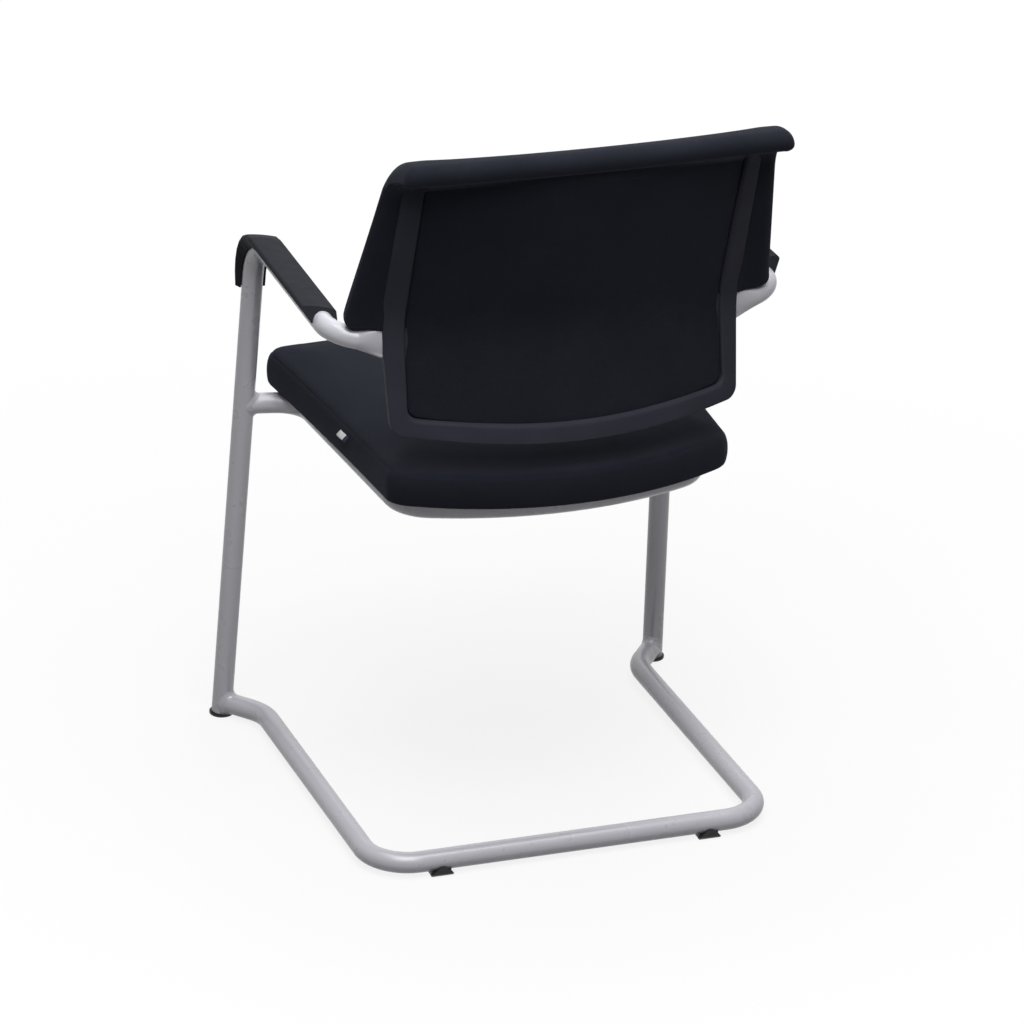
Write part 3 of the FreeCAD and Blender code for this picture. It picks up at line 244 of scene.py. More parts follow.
@dataclass
class FourSided:
    """Closed outline of four sides that share corners, for shells with gridded caps.

    Each side is (K, 2): front and rear run from -X to +X, right and left from front to
    rear. counts gives the steps of the front and of the left side.
    """

    counts: tuple[int, int]

    def loop(self, front: Array, left: Array, rear: Array, right: Array) -> Array:
        """Outline as one loop of points, starting at the front of the right side.

        Args:
            front, left, rear, right: (K, 2) polylines that share their corners.
        Returns:
            (2 (nu + nv), 2) points, evenly spaced on each side.
        """
        nu, nv = self.counts
        sides = [
            resampled(front, nu + 1)[:-1],
            resampled(left, nv + 1)[:-1],
            resampled(rear, nu + 1)[::-1][:-1],
            resampled(right, nv + 1)[::-1][:-1],
        ]
        return np.concatenate(sides)

    def patch(self, loop: Array) -> Array:
        """Grid spanned by a loop.

        A Coons patch: the two grids ruled between facing sides, added together, less the
        grid ruled between the four corners.

        Args:
            loop: (2 (nu + nv), 2) outline.
        Returns:
            (nv + 1, nu + 1, 2) points.
        """
        nu, nv = self.counts
        closed = np.concatenate([loop, loop[:1]])
        front = closed[: nu + 1]
        left = closed[nu : nu + nv + 1]
        rear = closed[nu + nv : 2 * nu + nv + 1][::-1]
        right = closed[2 * nu + nv :][::-1]
        u = np.linspace(0.0, 1.0, nu + 1)[None, :, None]
        v = np.linspace(0.0, 1.0, nv + 1)[:, None, None]
        ruled = (1 - v) * front[None] + v * rear[None]
        crossed = (1 - u) * right[:, None] + u * left[:, None]
        corners = (1 - u) * (1 - v) * front[0] + u * (1 - v) * front[-1]
        corners = corners + (1 - u) * v * rear[0] + u * v * rear[-1]
        return ruled + crossed - corners

    def swell(self) -> Array:
        """Share that is 0 on the patch's rim and 1 in its middle: (1 - u^2) (1 - v^2).

        Returns:
            (nv + 1, nu + 1) shares.
        """
        nu, nv = self.counts
        u = np.linspace(-1.0, 1.0, nu + 1)[None, :]
        v = np.linspace(-1.0, 1.0, nv + 1)[:, None]
        return (1 - u * u) * (1 - v * v)

    def add_cap(self, builder: MeshBuilder, ring_first: int, loop: Array, height: Array) -> None:
        """Closes a ring of the builder with a grid.

        Args:
            builder: holds the ring's points already.
            ring_first: index of the ring's first point.
            loop: the ring's (N, 2) outline.
            height: (nv + 1, nu + 1) third coordinate of the grid.
        """
        nu, nv = self.counts
        grid = np.concatenate([self.patch(loop), height[..., None]], -1)
        inner_first = builder.add_points(grid[1:-1, 1:-1])
        index = np.empty((nv + 1, nu + 1), int)
        index[0, :] = np.arange(nu + 1)
        index[:, nu] = nu + np.arange(nv + 1)
        index[nv, ::-1] = nu + nv + np.arange(nu + 1)
        index[::-1, 0] = (2 * nu + nv + np.arange(nv + 1)) % (2 * (nu + nv))
        index += ring_first
        inner = np.arange((nu - 1) * (nv - 1)).reshape(nv - 1, nu - 1)
        index[1:-1, 1:-1] = inner_first + inner
        builder.add_index_grid(index, grid[..., :2])


    def add_shell(
        self,
        builder: MeshBuilder,
        rings: list[tuple[float, float]],
        outline: Outline,
        low: Array,
        high: Array,
    ) -> None:
        """Stacks outlines into a wall and closes it with a grid at each end.

        Args:
            builder: takes the points and faces.
            rings: inset and level of each outline.
            outline: gives the loop that is drawn in by an inset.
            low, high: (nv + 1, nu + 1) levels of the first and the last grid.
        """
        loops = [outline(inset) for inset, _ in rings]
        stack = [
            np.column_stack([loop, np.full(len(loop), level)])
            for loop, (_, level) in zip(loops, rings)
        ]
        first = builder.add_tube(np.array(stack))
        last = first + (len(rings) - 1) * len(loops[0])
        self.add_cap(builder, first, loops[0], low)
        self.add_cap(builder, last, loops[-1], high)


def read_points(piece: bpy.types.Object) -> Array:
    """Points of a piece's mesh, in metres.

    Args:
        piece: an object with a mesh.
    Returns:
        (K, 3) places.
    """
    points = np.empty(len(piece.data.vertices) * 3)
    piece.data.vertices.foreach_get("co", points)
    return points.reshape(-1, 3)


def write_points(piece: bpy.types.Object, points: Array) -> None:
    """Gives a piece's mesh new places for its points."""
    piece.data.vertices.foreach_set("co", points.ravel())
    piece.data.update()


def read_normals(piece: bpy.types.Object) -> Array:
    """Unit normals at a piece's points.

    Args:
        piece: an object with a mesh.
    Returns:
        (K, 3) unit vectors.
    """
    normals = np.empty(len(piece.data.vertices) * 3)
    piece.data.vertex_normals.foreach_get("vector", normals)
    return normals.reshape(-1, 3)


def subdivided(piece: bpy.types.Object, levels: int = 1) -> None:
    """Turns a piece's mesh into its smooth subdivision.

    Args:
        piece: a finished mesh with no modifiers.
        levels: how often each face is divided.
    """
    smoother = piece.modifiers.new("Smooth", "SUBSURF")
    smoother.levels = levels
    smoother.render_levels = levels
    graph = bpy.context.evaluated_depsgraph_get()
    finer = bpy.data.meshes.new_from_object(piece.evaluated_get(graph))
    piece.modifiers.remove(smoother)
    old = piece.data
    piece.data = finer
    bpy.data.meshes.remove(old)


def evened(piece: bpy.types.Object, values: Array, rounds: int) -> Array:
    """Draws each value half-way to the mean of its neighbours', again and again.

    Args:
        piece: gives the edges between points.
        values: (K,) one for each point.
        rounds: how many times.
    Returns:
        (K,) evened values.
    """
    edges = np.empty(len(piece.data.edges) * 2, np.int64)
    piece.data.edges.foreach_get("vertices", edges)
    one, other = edges.reshape(-1, 2).T
    count = len(values)
    meetings = np.bincount(one, minlength=count) + np.bincount(other, minlength=count)
    for _ in range(rounds):
        total = np.bincount(one, values[other], count) + np.bincount(other, values[one], count)
        values = 0.5 * values + 0.5 * total / meetings
    return values


def puffed(piece: bpy.types.Object, pressure: float, cap: float, held: Array) -> None:
    """Swells a closed cover as far as a cloth simulation says, scaled to what foam gives.

    The simulated rise along each normal, evened out, is scaled so that its largest is the
    cap; a point rises by that and never sinks.

    Args:
        piece: the cover, with no modifiers.
        pressure: of the filling.
        cap: the furthest that a point may move, in millimetres.
        held: (K,) share by which each point is held at its place, from 0 to 1.
    """
    scene = bpy.context.scene
    start = read_points(piece)
    group = piece.vertex_groups.new(name="held")
    for level in np.unique(np.round(held, 1)):
        chosen = np.nonzero(np.round(held, 1) == level)[0]
        if level > 0:
            group.add(chosen.tolist(), float(level), "REPLACE")
    cloth = piece.modifiers.new("Swell", "CLOTH")
    settings = cloth.settings
    settings.quality = SWELL_QUALITY
    settings.use_pressure = True
    settings.uniform_pressure_force = pressure
    settings.effector_weights.gravity = 0.0
    settings.vertex_group_mass = group.name
    cloth.collision_settings.use_collision = False
    cloth.collision_settings.use_self_collision = False
    for step in range(1, SWELL_FRAMES + 1):
        scene.frame_set(step)
    graph = bpy.context.evaluated_depsgraph_get()
    evaluated = piece.evaluated_get(graph)
    moved = np.empty(len(start) * 3)
    evaluated.data.vertices.foreach_get("co", moved)
    piece.modifiers.remove(cloth)
    piece.vertex_groups.remove(group)
    scene.frame_set(1)
    normals = read_normals(piece)
    moves = np.sum((moved.reshape(-1, 3) - start) * normals, axis=1)
    rise = evened(piece, moves, EVENING_ROUNDS)
    share = np.clip(rise / rise.max(), 0.0, 1.0) * (1 - held)
    write_points(piece, start + normals * share[:, None] * cap * MM)
    LOG.info("%s swelled by at most %.1f mm", piece.name, cap * share.max())


# -------------------------------------------------------------------------- finishes
class Graph:
    """Node graph of one material, with its shader ready to be dressed."""

    def __init__(self, name: str) -> None:
        """Starts a material with a Principled shader on its output.

        Args:
            name: the material's name.
        """
        self.material = bpy.data.materials.new(name)
        self.material.use_nodes = True
        self.tree = self.material.node_tree
        self.tree.nodes.clear()
        self.shader = self.node("ShaderNodeBsdfPrincipled")
        output = self.tree.nodes.new("ShaderNodeOutputMaterial")
        self.tree.links.new(self.shader.outputs["BSDF"], output.inputs["Surface"])

    def node(
        self, kind: str, inputs: dict | None = None, **options: object
    ) -> bpy.types.Node:
        """Adds a node.

        Args:
            kind: the node's type.
            inputs: its sockets' values, or the sockets that feed them.
            options: its own settings.
        Returns:
            The node.
        """
        node = self.tree.nodes.new(kind)
        for option, value in options.items():
            setattr(node, option, value)
        for socket, value in (inputs or {}).items():
            self.feed(node, socket, value)
        return node

    def feed(self, node: bpy.types.Node, socket: str | int, value: object) -> None:
        """Links a socket to a node's input, or sets its plain value.

        Args:
            node: the node.
            socket: name or number of its input.
            value: a socket, a number or a colour.
        """
        if isinstance(value, Socket):
            self.tree.links.new(value, node.inputs[socket])
        else:
            node.inputs[socket].default_value = value

    def place(self, scale: Point = (1.0, 1.0, 1.0)) -> Socket:
        """Object coordinates, stretched by scale."""
        source = self.node("ShaderNodeTexCoord").outputs["Object"]
        return self.node("ShaderNodeMapping", {"Vector": source, "Scale": scale}).outputs[0]

    def noise(self, where: Socket, scale: float, detail: float = 2.0) -> Socket:
        """Noise between 0 and 1 at that many cells to the metre."""
        inputs = {"Vector": where, "Scale": scale, "Detail": detail}
        return self.node("ShaderNodeTexNoise", inputs).outputs["Fac"]

    def ranged(
        self, value: Socket, low: float, high: float, start: float = 0.3, end: float = 0.7
    ) -> Socket:
        """Value taken from start..end to low..high."""
        inputs = {"Value": value, 1: start, 2: end, 3: low, 4: high}
        return self.node("ShaderNodeMapRange", inputs).outputs[0]

    def math(self, operation: str, first: float | Socket, second: float | Socket = 0.0) -> Socket:
        """Result of one operation on two values."""
        return self.node("ShaderNodeMath", {0: first, 1: second}, operation=operation).outputs[0]

    def mixed(self, share: Socket, first: Colour | Socket, second: Colour | Socket) -> Socket:
        """Colour between two, by a share that varies over the surface.

        Args:
            share: 0 for the first, 1 for the second.
            first, second: colours, or sockets that give them.
        Returns:
            The mixed colour.
        """
        node = self.node("ShaderNodeMix", data_type="RGBA")
        self.feed(node, 0, share)
        for socket, colour in ((6, first), (7, second)):
            value = colour if isinstance(colour, Socket) else (*colour, 1.0)
            self.feed(node, socket, value)
        return node.outputs[2]

    def bumped(
        self,
        height: Socket,
        distance: float,
        strength: float = 1.0,
        below: Socket | None = None,
    ) -> Socket:
        """Normal of a surface raised by height times distance.

        Args:
            height: 0 to 1 over the surface.
            distance: height of 1, in metres.
            strength: share of the effect.
            below: normal that it lies on, if any.
        Returns:
            The normal.
        """
        inputs = {"Height": height, "Distance": distance, "Strength": strength}
        if below is not None:
            inputs["Normal"] = below
        return self.node("ShaderNodeBump", inputs).outputs[0]

    def dress(self, **sockets: object) -> bpy.types.Material:
        """Sets the shader's sockets and gives the material.

        Args:
            sockets: the value or the feed of each, by name with _ for a space.
        Returns:
            The material.
        """
        for name, value in sockets.items():
            self.feed(self.shader, name.replace("_", " "), value)
        return self.material


def shade(colour: Colour, factor: float) -> Colour:
    """Colour made lighter or darker by a factor."""
    return tuple(min(1.0, part * factor) for part in colour)


@dataclass(frozen=True)
class PowderCoat:
    """Satin metallic powder coat: fine flakes, orange peel and a slightly uneven tone."""

    name: str = "silver_coat"
    colour: Colour = (0.57, 0.566, 0.615)
    metallic: float = 0.08
    smooth: float = 0.26
    rough: float = 0.33
    gloss: float = 0.4
    flake_cells: float = 2600.0
    peel_cells: float = 700.0
    peel: float = 0.000008

    def material(self) -> bpy.types.Material:
        """The coat as a material.

        Returns:
            The material.
        """
        graph = Graph(self.name)
        where = graph.place()
        flakes = graph.noise(where, self.flake_cells, 1.0)
        flakes = graph.ranged(flakes, 0.0, 1.0, 0.35, 0.65)
        grain = graph.mixed(flakes, shade(self.colour, 0.985), shade(self.colour, 1.015))
        cloudy = graph.ranged(graph.noise(where, 9.0, 3.0), 0.0, 0.3)
        colour = graph.mixed(cloudy, grain, shade(self.colour, 0.9))
        rough = graph.ranged(graph.noise(where, 40.0, 2.0), self.smooth, self.rough)
        normal = graph.bumped(graph.noise(where, self.peel_cells, 1.0), self.peel)
        return graph.dress(
            Base_Color=colour,
            Metallic=self.metallic,
            Roughness=rough,
            Normal=normal,
            Specular_IOR_Level=self.gloss,
        )


@dataclass(frozen=True)
class WovenCloth:
    """Woven upholstery cloth: crossing yarns, slubs, soft sheen and uneven dye."""

    name: str = "dark_cloth"
    colour: Colour = (0.0115, 0.0128, 0.0195)
    light: Colour = (0.0195, 0.0215, 0.0305)
    yarn: float = 0.0011
    relief: float = 0.00012
    sheen: float = 0.06
    gloss: float = 0.08
    slub_across: float = 900.0
    slub_along: float = 60.0

    def material(self) -> bpy.types.Material:
        """The cloth as a material that follows the piece's own cloth map.

        Returns:
            The material.
        """
        graph = Graph(self.name)
        flat = graph.node("ShaderNodeUVMap", uv_map="cloth").outputs[0]
        parts = graph.node("ShaderNodeSeparateXYZ", {0: flat})
        turn = math.tau / self.yarn
        waves = [
            graph.math("SINE", graph.math("MULTIPLY", parts.outputs[axis], turn))
            for axis in (0, 1)
        ]
        weave = graph.ranged(graph.math("MULTIPLY", *waves), 0.0, 1.0, -1.0, 1.0)
        where = graph.place()
        fuzz = graph.noise(where, 1900.0, 2.0)
        warp, weft = [
            graph.node("ShaderNodeMapping", {"Vector": flat, "Scale": (*cells, 1.0)})
            for cells in (
                (self.slub_across, self.slub_along),
                (self.slub_along, self.slub_across),
            )
        ]
        slubs = graph.math(
            "ADD",
            graph.noise(warp.outputs[0], 1.0, 2.0),
            graph.noise(weft.outputs[0], 1.0, 2.0),
        )
        woven_tone = graph.math("MULTIPLY", weave, 0.45)
        tone = graph.math("ADD", woven_tone, graph.math("MULTIPLY", slubs, 0.4))
        fine = graph.mixed(graph.ranged(tone, 0.0, 1.0, 0.25, 1.0), self.colour, self.light)
        uneven = graph.ranged(graph.noise(where, 14.0, 4.0), 0.0, 0.5)
        colour = graph.mixed(uneven, fine, shade(self.colour, 0.8))
        rough = graph.ranged(fuzz, 0.82, 0.95)
        woven = graph.bumped(weave, self.relief)
        normal = graph.bumped(fuzz, self.relief * 0.5, 0.8, woven)
        return graph.dress(
            Base_Color=colour,
            Roughness=rough,
            Normal=normal,
            Specular_IOR_Level=self.gloss,
            Sheen_Weight=self.sheen,
            Sheen_Roughness=0.45,
            Sheen_Tint=(0.62, 0.66, 0.8, 1.0),
        )


@dataclass(frozen=True)
class MouldedPlastic:
    """Moulded plastic with a spark-eroded grain, dulled and scuffed in places."""

    name: str
    colour: Colour
    grain: float = 1500.0
    relief: float = 0.00004
    smooth: float = 0.38
    rough: float = 0.5
    gloss: float = 0.35

    def material(self) -> bpy.types.Material:
        """The plastic as a material.

        Returns:
            The material.
        """
        graph = Graph(self.name)
        where = graph.place()
        pits = graph.noise(where, self.grain, 3.0)
        cloudy = graph.ranged(graph.noise(where, 18.0, 4.0), 0.0, 1.0)
        tone = graph.mixed(cloudy, shade(self.colour, 0.92), shade(self.colour, 1.08))
        scratch = graph.noise(graph.place((60.0, 900.0, 60.0)), 1.0, 3.0)
        worn = graph.ranged(scratch, 0.0, 0.4, 0.62, 0.8)
        colour = graph.mixed(worn, tone, shade(self.colour, 1.12))
        rough = graph.ranged(graph.noise(where, 55.0, 4.0), self.smooth, self.rough)
        normal = graph.bumped(pits, self.relief, 0.8)
        return graph.dress(
            Base_Color=colour,
            Roughness=rough,
            Normal=normal,
            Specular_IOR_Level=self.gloss,
        )


@dataclass(frozen=True)
class Plywood:
    """Raw beech plywood: long grain on the faces and plies in the edge."""

    name: str = "plywood"
    pale: Colour = (0.58, 0.42, 0.26)
    dark: Colour = (0.38, 0.25, 0.14)
    ply: float = 0.002

    def material(self) -> bpy.types.Material:
        """The plywood as a material.

        Returns:
            The material.
        """
        graph = Graph(self.name)
        grain = graph.noise(graph.place((180.0, 14.0, 180.0)), 1.0, 5.0)
        pores = graph.noise(graph.place((1500.0, 120.0, 1500.0)), 1.0, 2.0)
        height = graph.node("ShaderNodeSeparateXYZ", {0: graph.place()}).outputs[2]
        layers = graph.math("SINE", graph.math("MULTIPLY", height, math.pi / self.ply))
        plies = graph.ranged(layers, 0.0, 1.0, -0.2, 0.2)
        facing = graph.node("ShaderNodeNewGeometry").outputs["Normal"]
        upright = graph.math(
            "ABSOLUTE", graph.node("ShaderNodeSeparateXYZ", {0: facing}).outputs[2]
        )
        figured = graph.mixed(graph.ranged(grain, 0.0, 1.0), self.pale, self.dark)
        edge = graph.mixed(plies, shade(self.dark, 0.8), self.pale)
        colour = graph.mixed(graph.ranged(upright, 0.0, 1.0, 0.4, 0.7), edge, figured)
        return graph.dress(
            Base_Color=colour,
            Roughness=graph.ranged(pores, 0.6, 0.8),
            Normal=graph.bumped(pores, 0.00008, 0.7),
            Specular_IOR_Level=0.3,
        )


@dataclass(frozen=True)
class ZincPlate:
    """Bright zinc plating, slightly blotched."""

    name: str = "zinc_steel"
    colour: Colour = (0.62, 0.63, 0.65)

    def material(self) -> bpy.types.Material:
        """The plating as a material.

        Returns:
            The material.
        """
        graph = Graph(self.name)
        where = graph.place()
        blotch = graph.ranged(graph.noise(where, 260.0, 4.0), 0.0, 1.0)
        colour = graph.mixed(blotch, self.colour, shade(self.colour, 0.8))
        return graph.dress(
            Base_Color=colour,
            Metallic=1.0,
            Roughness=graph.ranged(blotch, 0.24, 0.4, 0.0, 1.0),
            Normal=graph.bumped(graph.noise(where, 900.0, 2.0), 0.00002, 0.5),
        )


@dataclass(frozen=True)
class TapeCloth:
    """Plain woven tape: pale, ribbed across, and dark over one end."""

    name: str = "tag_cloth"
    pale: Colour = (0.72, 0.73, 0.74)
    dark: Colour = (0.02, 0.025, 0.05)
    rib: float = 0.0005
    # Where the dark end of the tape begins, along its length.
    dark_end_from: float = 0.0195

    def material(self) -> bpy.types.Material:
        """The tape as a material that follows the piece's own cloth map.

        Returns:
            The material.
        """
        graph = Graph(self.name)
        flat = graph.node("ShaderNodeUVMap", uv_map="cloth").outputs[0]
        parts = graph.node("ShaderNodeSeparateXYZ", {0: flat})
        ribs = graph.math("SINE", graph.math("MULTIPLY", parts.outputs[0], math.tau / self.rib))
        # Dark over the last stretch of the tape's length.
        wide = graph.ranged(parts.outputs[1], 0.0, 1.0, self.dark_end_from, self.dark_end_from + 0.0004)
        soft = graph.ranged(graph.noise(graph.place(), 700.0, 3.0), 0.0, 0.4)
        pale = graph.mixed(soft, self.pale, shade(self.pale, 0.8))
        return graph.dress(
            Base_Color=graph.mixed(wide, pale, self.dark),
            Roughness=graph.ranged(ribs, 0.7, 0.85, -1.0, 1.0),
            Normal=graph.bumped(ribs, 0.00004, 0.6),
            Specular_IOR_Level=0.2,
        )


class Slot(Enum):
    """Material slots of the record."""

    COAT = "silver_coat"
    ZINC = "zinc_steel"
    PLYWOOD = "plywood"
    CLOTH = "dark_cloth"
    TAG = "tag_cloth"
    FRAME = "frame_plastic"
    PAD = "pad_plastic"
    GLIDE = "glide_plastic"


@dataclass
class Finishes:
    """The finish of each slot, made once and shared by the pieces."""

    made: dict[Slot, bpy.types.Material] = field(default_factory=dict)

    def __post_init__(self) -> None:
        """Makes every finish."""
        finishes = {
            Slot.COAT: PowderCoat(),
            Slot.ZINC: ZincPlate(),
            Slot.PLYWOOD: Plywood(),
            Slot.CLOTH: WovenCloth(),
            Slot.TAG: TapeCloth(),
            Slot.FRAME: MouldedPlastic("frame_plastic", (0.041, 0.042, 0.056), gloss=0.02),
            Slot.PAD: MouldedPlastic(
                "pad_plastic", (0.0215, 0.0225, 0.0275), smooth=0.45, rough=0.55, gloss=0.015
            ),
            Slot.GLIDE: MouldedPlastic("glide_plastic", (0.012, 0.012, 0.014)),
        }
        self.made = {slot: finish.material() for slot, finish in finishes.items()}

    def dress(self, piece: bpy.types.Object, slot: Slot) -> None:
        """Gives a piece one finish and names its slot.

        Args:
            piece: a finished mesh.
            slot: its slot, which picks the finish.
        """
        piece.data.materials.clear()
        piece.data.materials.append(self.made[slot])

    def shown(self, piece: bpy.types.Object, slot: Slot, *nodes: str) -> bpy.types.Object:
        """Dresses a new piece, rides it on the chair and hides the nodes it stands for.

        Args:
            piece: the finished mesh.
            slot: its finish.
            nodes: names of the solids it replaces.
        Returns:
            The piece.
        """
        self.dress(piece, slot)
        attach(piece, "root")
        if nodes:
            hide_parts(*nodes)
        LOG.info("%s: %d faces", piece.name, len(piece.data.polygons))
        return piece


# -------------------------------------------------------------------- seat upholstery
@dataclass(frozen=True)
class SeatPlane:
    """Level of the seat, tipped back about a line across the chair."""

    base: float = 429.0
    pivot_y: float = 170.0
    pivot_z: float = 416.5
    tilt: float = math.radians(0.7)

    def place(self, points: Array) -> Array:
        """Turns points by the tilt about the pivot line.

        Args:
            points: (K, 3) on the level seat.
        Returns:
            (K, 3) points of the chair.
        """
        ahead = points[:, 1] - self.pivot_y
        above = points[:, 2] - self.pivot_z
        cosine, sine = math.cos(-self.tilt), math.sin(-self.tilt)
        return np.stack(
            [
                points[:, 0],
                self.pivot_y + ahead * cosine - above * sine,
                self.pivot_z + ahead * sine + above * cosine,
            ],
            -1,
        )


@dataclass
class SeatCushion:
    """Seat cushion: a boxed cover with a seam along its sides over crowned foam."""

    finishes: Finishes
    plane: SeatPlane = field(default_factory=SeatPlane)
    shape: FourSided = field(default_factory=lambda: FourSided((84, 76)))
    front_x: float = 234.0
    waist_x: float = 218.0
    waist_y: float = -60.0
    rear_x: float = 204.0
    front_y: float = -231.0
    rear_y: float = 152.0
    front_bow: float = 8.0
    rear_bow: float = 54.0
    front_round: float = 22.0
    rear_round: float = 18.0
    least_round: float = 8.0
    side_height: float = 42.0
    crown: float = 14.0
    crown_reach: float = 95.0
    crown_power: float = 2.7
    dome_power: float = 0.8
    hem: Profile = ((8.7, 5.0), (8.7, 0.4), (6.5, -0.1), (4.6, 1.0))
    side: Profile = (
        (0.10, 2.6),
        (0.2, 1.6),
        (0.32, 0.9),
        (0.44, 0.5),
        (0.56, 0.5),
        (0.68, 0.8),
        (0.79, 1.5),
        (0.88, 2.6),
        (0.94, 3.5),
    )
    rim: Profile = ((0.0, 4.6), (1.1, 5.8), (2.4, 7.6), (3.8, 10.4), (5.3, 14.5))
    crown_insets: tuple[float, ...] = (20.0, 27.0, 35.0, 44.0, 54.0)
    board_inset: float = 8.7
    board_top: float = 439.3
    slack: float = -5.2
    corner_pull: float = 0.42
    swell_pressure: float = 4.0
    swell_cap: float = 3.4
    seam_depth: float = 1.3
    seam_width: float = 1.5
    welt_rise: float = 0.55
    welt_height: float = 4.0
    welt_width: float = 2.6
    side_from_x: float = 190.0
    fade_from: float = 128.0
    fade_to: float = 165.0
    end_share: float = 0.55
    wobble: float = 0.15
    wobble_length: float = 9.0
    under_limit: float = -0.3
    held_rise: float = 12.0

    def outline(self, inset: float) -> Array:
        """Loop round the seat in plan, as FourSided wants it.

        Each side is an arc through its two ends and its middle; each corner is an arc whose
        middle lies a set share of the way from its chord to the corner.

        Args:
            inset: how far the loop is drawn in.
        Returns:
            (2 (nu + nv), 2) points.
        """
        front_x, rear_x = self.front_x - inset, self.rear_x - inset
        front_y, rear_y = self.front_y + inset, self.rear_y - inset
        front_round = max(self.front_round - inset * 0.5, self.least_round)
        rear_round = max(self.rear_round - inset * 0.2, self.least_round)
        front_in = np.array([front_x - front_round, front_y])
        front_out = np.array([front_x - 0.11 * front_round, front_y + front_round])
        waist = np.array([self.waist_x - inset, self.waist_y])
        rear_out = np.array([rear_x + 0.03 * rear_round, rear_y - 0.6 * rear_round])
        rear_in = np.array([rear_x - rear_round, rear_y + 0.5 * rear_round])

        def corner(start: Array, end: Array, vertex: Array) -> Array:
            """Arc that cuts the corner at vertex.

            Args:
                start, end: its two ends, (2,) each.
                vertex: the corner that it cuts.
            Returns:
                (CORNER_POINTS, 2) points.
            """
            middle = (start + end) / 2
            turning = middle + self.corner_pull * (vertex - middle)
            return arc_through(start, turning, end, CORNER_POINTS)

        half = CORNER_POINTS // 2
        flip = np.array([-1.0, 1.0])
        front_mid = np.array([0.0, front_y - self.front_bow])
        rear_mid = np.array([0.0, rear_y + self.rear_bow])
        front_corner = corner(front_in, front_out, np.array([front_x, front_y]))
        rear_corner = corner(rear_out, rear_in, np.array([rear_x, rear_y]))
        front_bow = arc_through(front_in * flip, front_mid, front_in, SIDE_POINTS)
        rear_bow = arc_through(rear_in * flip, rear_mid, rear_in, SIDE_POINTS)
        side = arc_through(front_out, waist, rear_out, SIDE_POINTS)
        left = np.concatenate([front_corner[half:], side[1:], rear_corner[1 : half + 1]])
        front_right = (front_corner[: half + 1] * flip)[::-1]
        front = np.concatenate([front_right, front_bow[1:], front_corner[1 : half + 1]])
        rear_left = rear_corner[half:-1][::-1]
        rear = np.concatenate([rear_corner[half:] * flip, rear_bow[1:], rear_left])
        return self.shape.loop(front, left, rear, left * flip)

    def rings(self) -> list[tuple[float, float]]:
        """Rings of the cover, from under the board up over the side and seam.

        Returns:
            Inset and height of each.
        """
        base, top = self.plane.base, self.plane.base + self.side_height
        rings = [(self.board_inset, self.board_top)]
        rings += [(inset, base + rise) for inset, rise in self.hem]
        for share, inset in self.side:
            rings.append((self.slack + inset, base + self.side_height * share))
        for rise, inset in self.rim:
            rings.append((self.slack + inset, top + rise))
        for inset in self.crown_insets:
            rise = self.crown * (1 - (1 - inset / self.crown_reach) ** self.crown_power)
            rings.append((self.slack + inset, top + rise))
        return rings

    def build(self) -> bpy.types.Object:
        """Makes the cover, swells it, and presses its seams in.

        Returns:
            The cushion, riding on the chair.
        """
        builder = MeshBuilder()
        rings = self.rings()
        nu, nv = self.shape.counts
        flat = np.full((nv + 1, nu + 1), self.board_top)
        rise = self.plane.base + self.side_height + self.crown - rings[-1][1]
        dome = rings[-1][1] + (rise + 1.0) * self.shape.swell() ** self.dome_power
        self.shape.add_shell(builder, rings, self.outline, flat, dome)
        piece = builder.write("seat_cushion_cover")
        local = read_points(piece) / MM
        base = self.plane.base
        held = 1 - smooth_step(local[:, 2], base + 1.0, base + self.held_rise)
        puffed(piece, self.swell_pressure, self.swell_cap, held)
        subdivided(piece)
        self.press_seams(piece)
        write_points(piece, self.plane.place(read_points(piece) / MM) * MM)
        return self.finishes.shown(piece, Slot.CLOTH, "seat_cushion")

    def press_seams(self, piece: bpy.types.Object) -> None:
        """Presses a seam into the sides, with a welt above it, fading at the rear corners.

        A point moves along its normal by -d exp(-(h/w)^2), h being its height off the seam,
        and the welt adds a lower rise of the same form just above it.

        Args:
            piece: the swollen cover, before it is tipped back.
        """
        local = read_points(piece) / MM
        normals = read_normals(piece)
        seam = self.plane.base + self.side_height
        off = local[:, 2] - seam
        side = np.abs(local[:, 0]) > self.side_from_x
        fade = 1 - smooth_step(local[:, 1], self.fade_from, self.fade_to)
        groove = -self.seam_depth * np.exp(-((off / self.seam_width) ** 2))
        over_seam = (off - self.welt_height) / self.welt_width
        groove = groove + self.welt_rise * np.exp(-(over_seam**2))
        wobble = 1 + self.wobble * np.sin(local[:, 1] / self.wobble_length)
        upward = normals[:, 2] > self.under_limit
        move = groove * wobble * np.where(side, fade, self.end_share) * upward
        write_points(piece, (local + normals * move[:, None]) * MM)


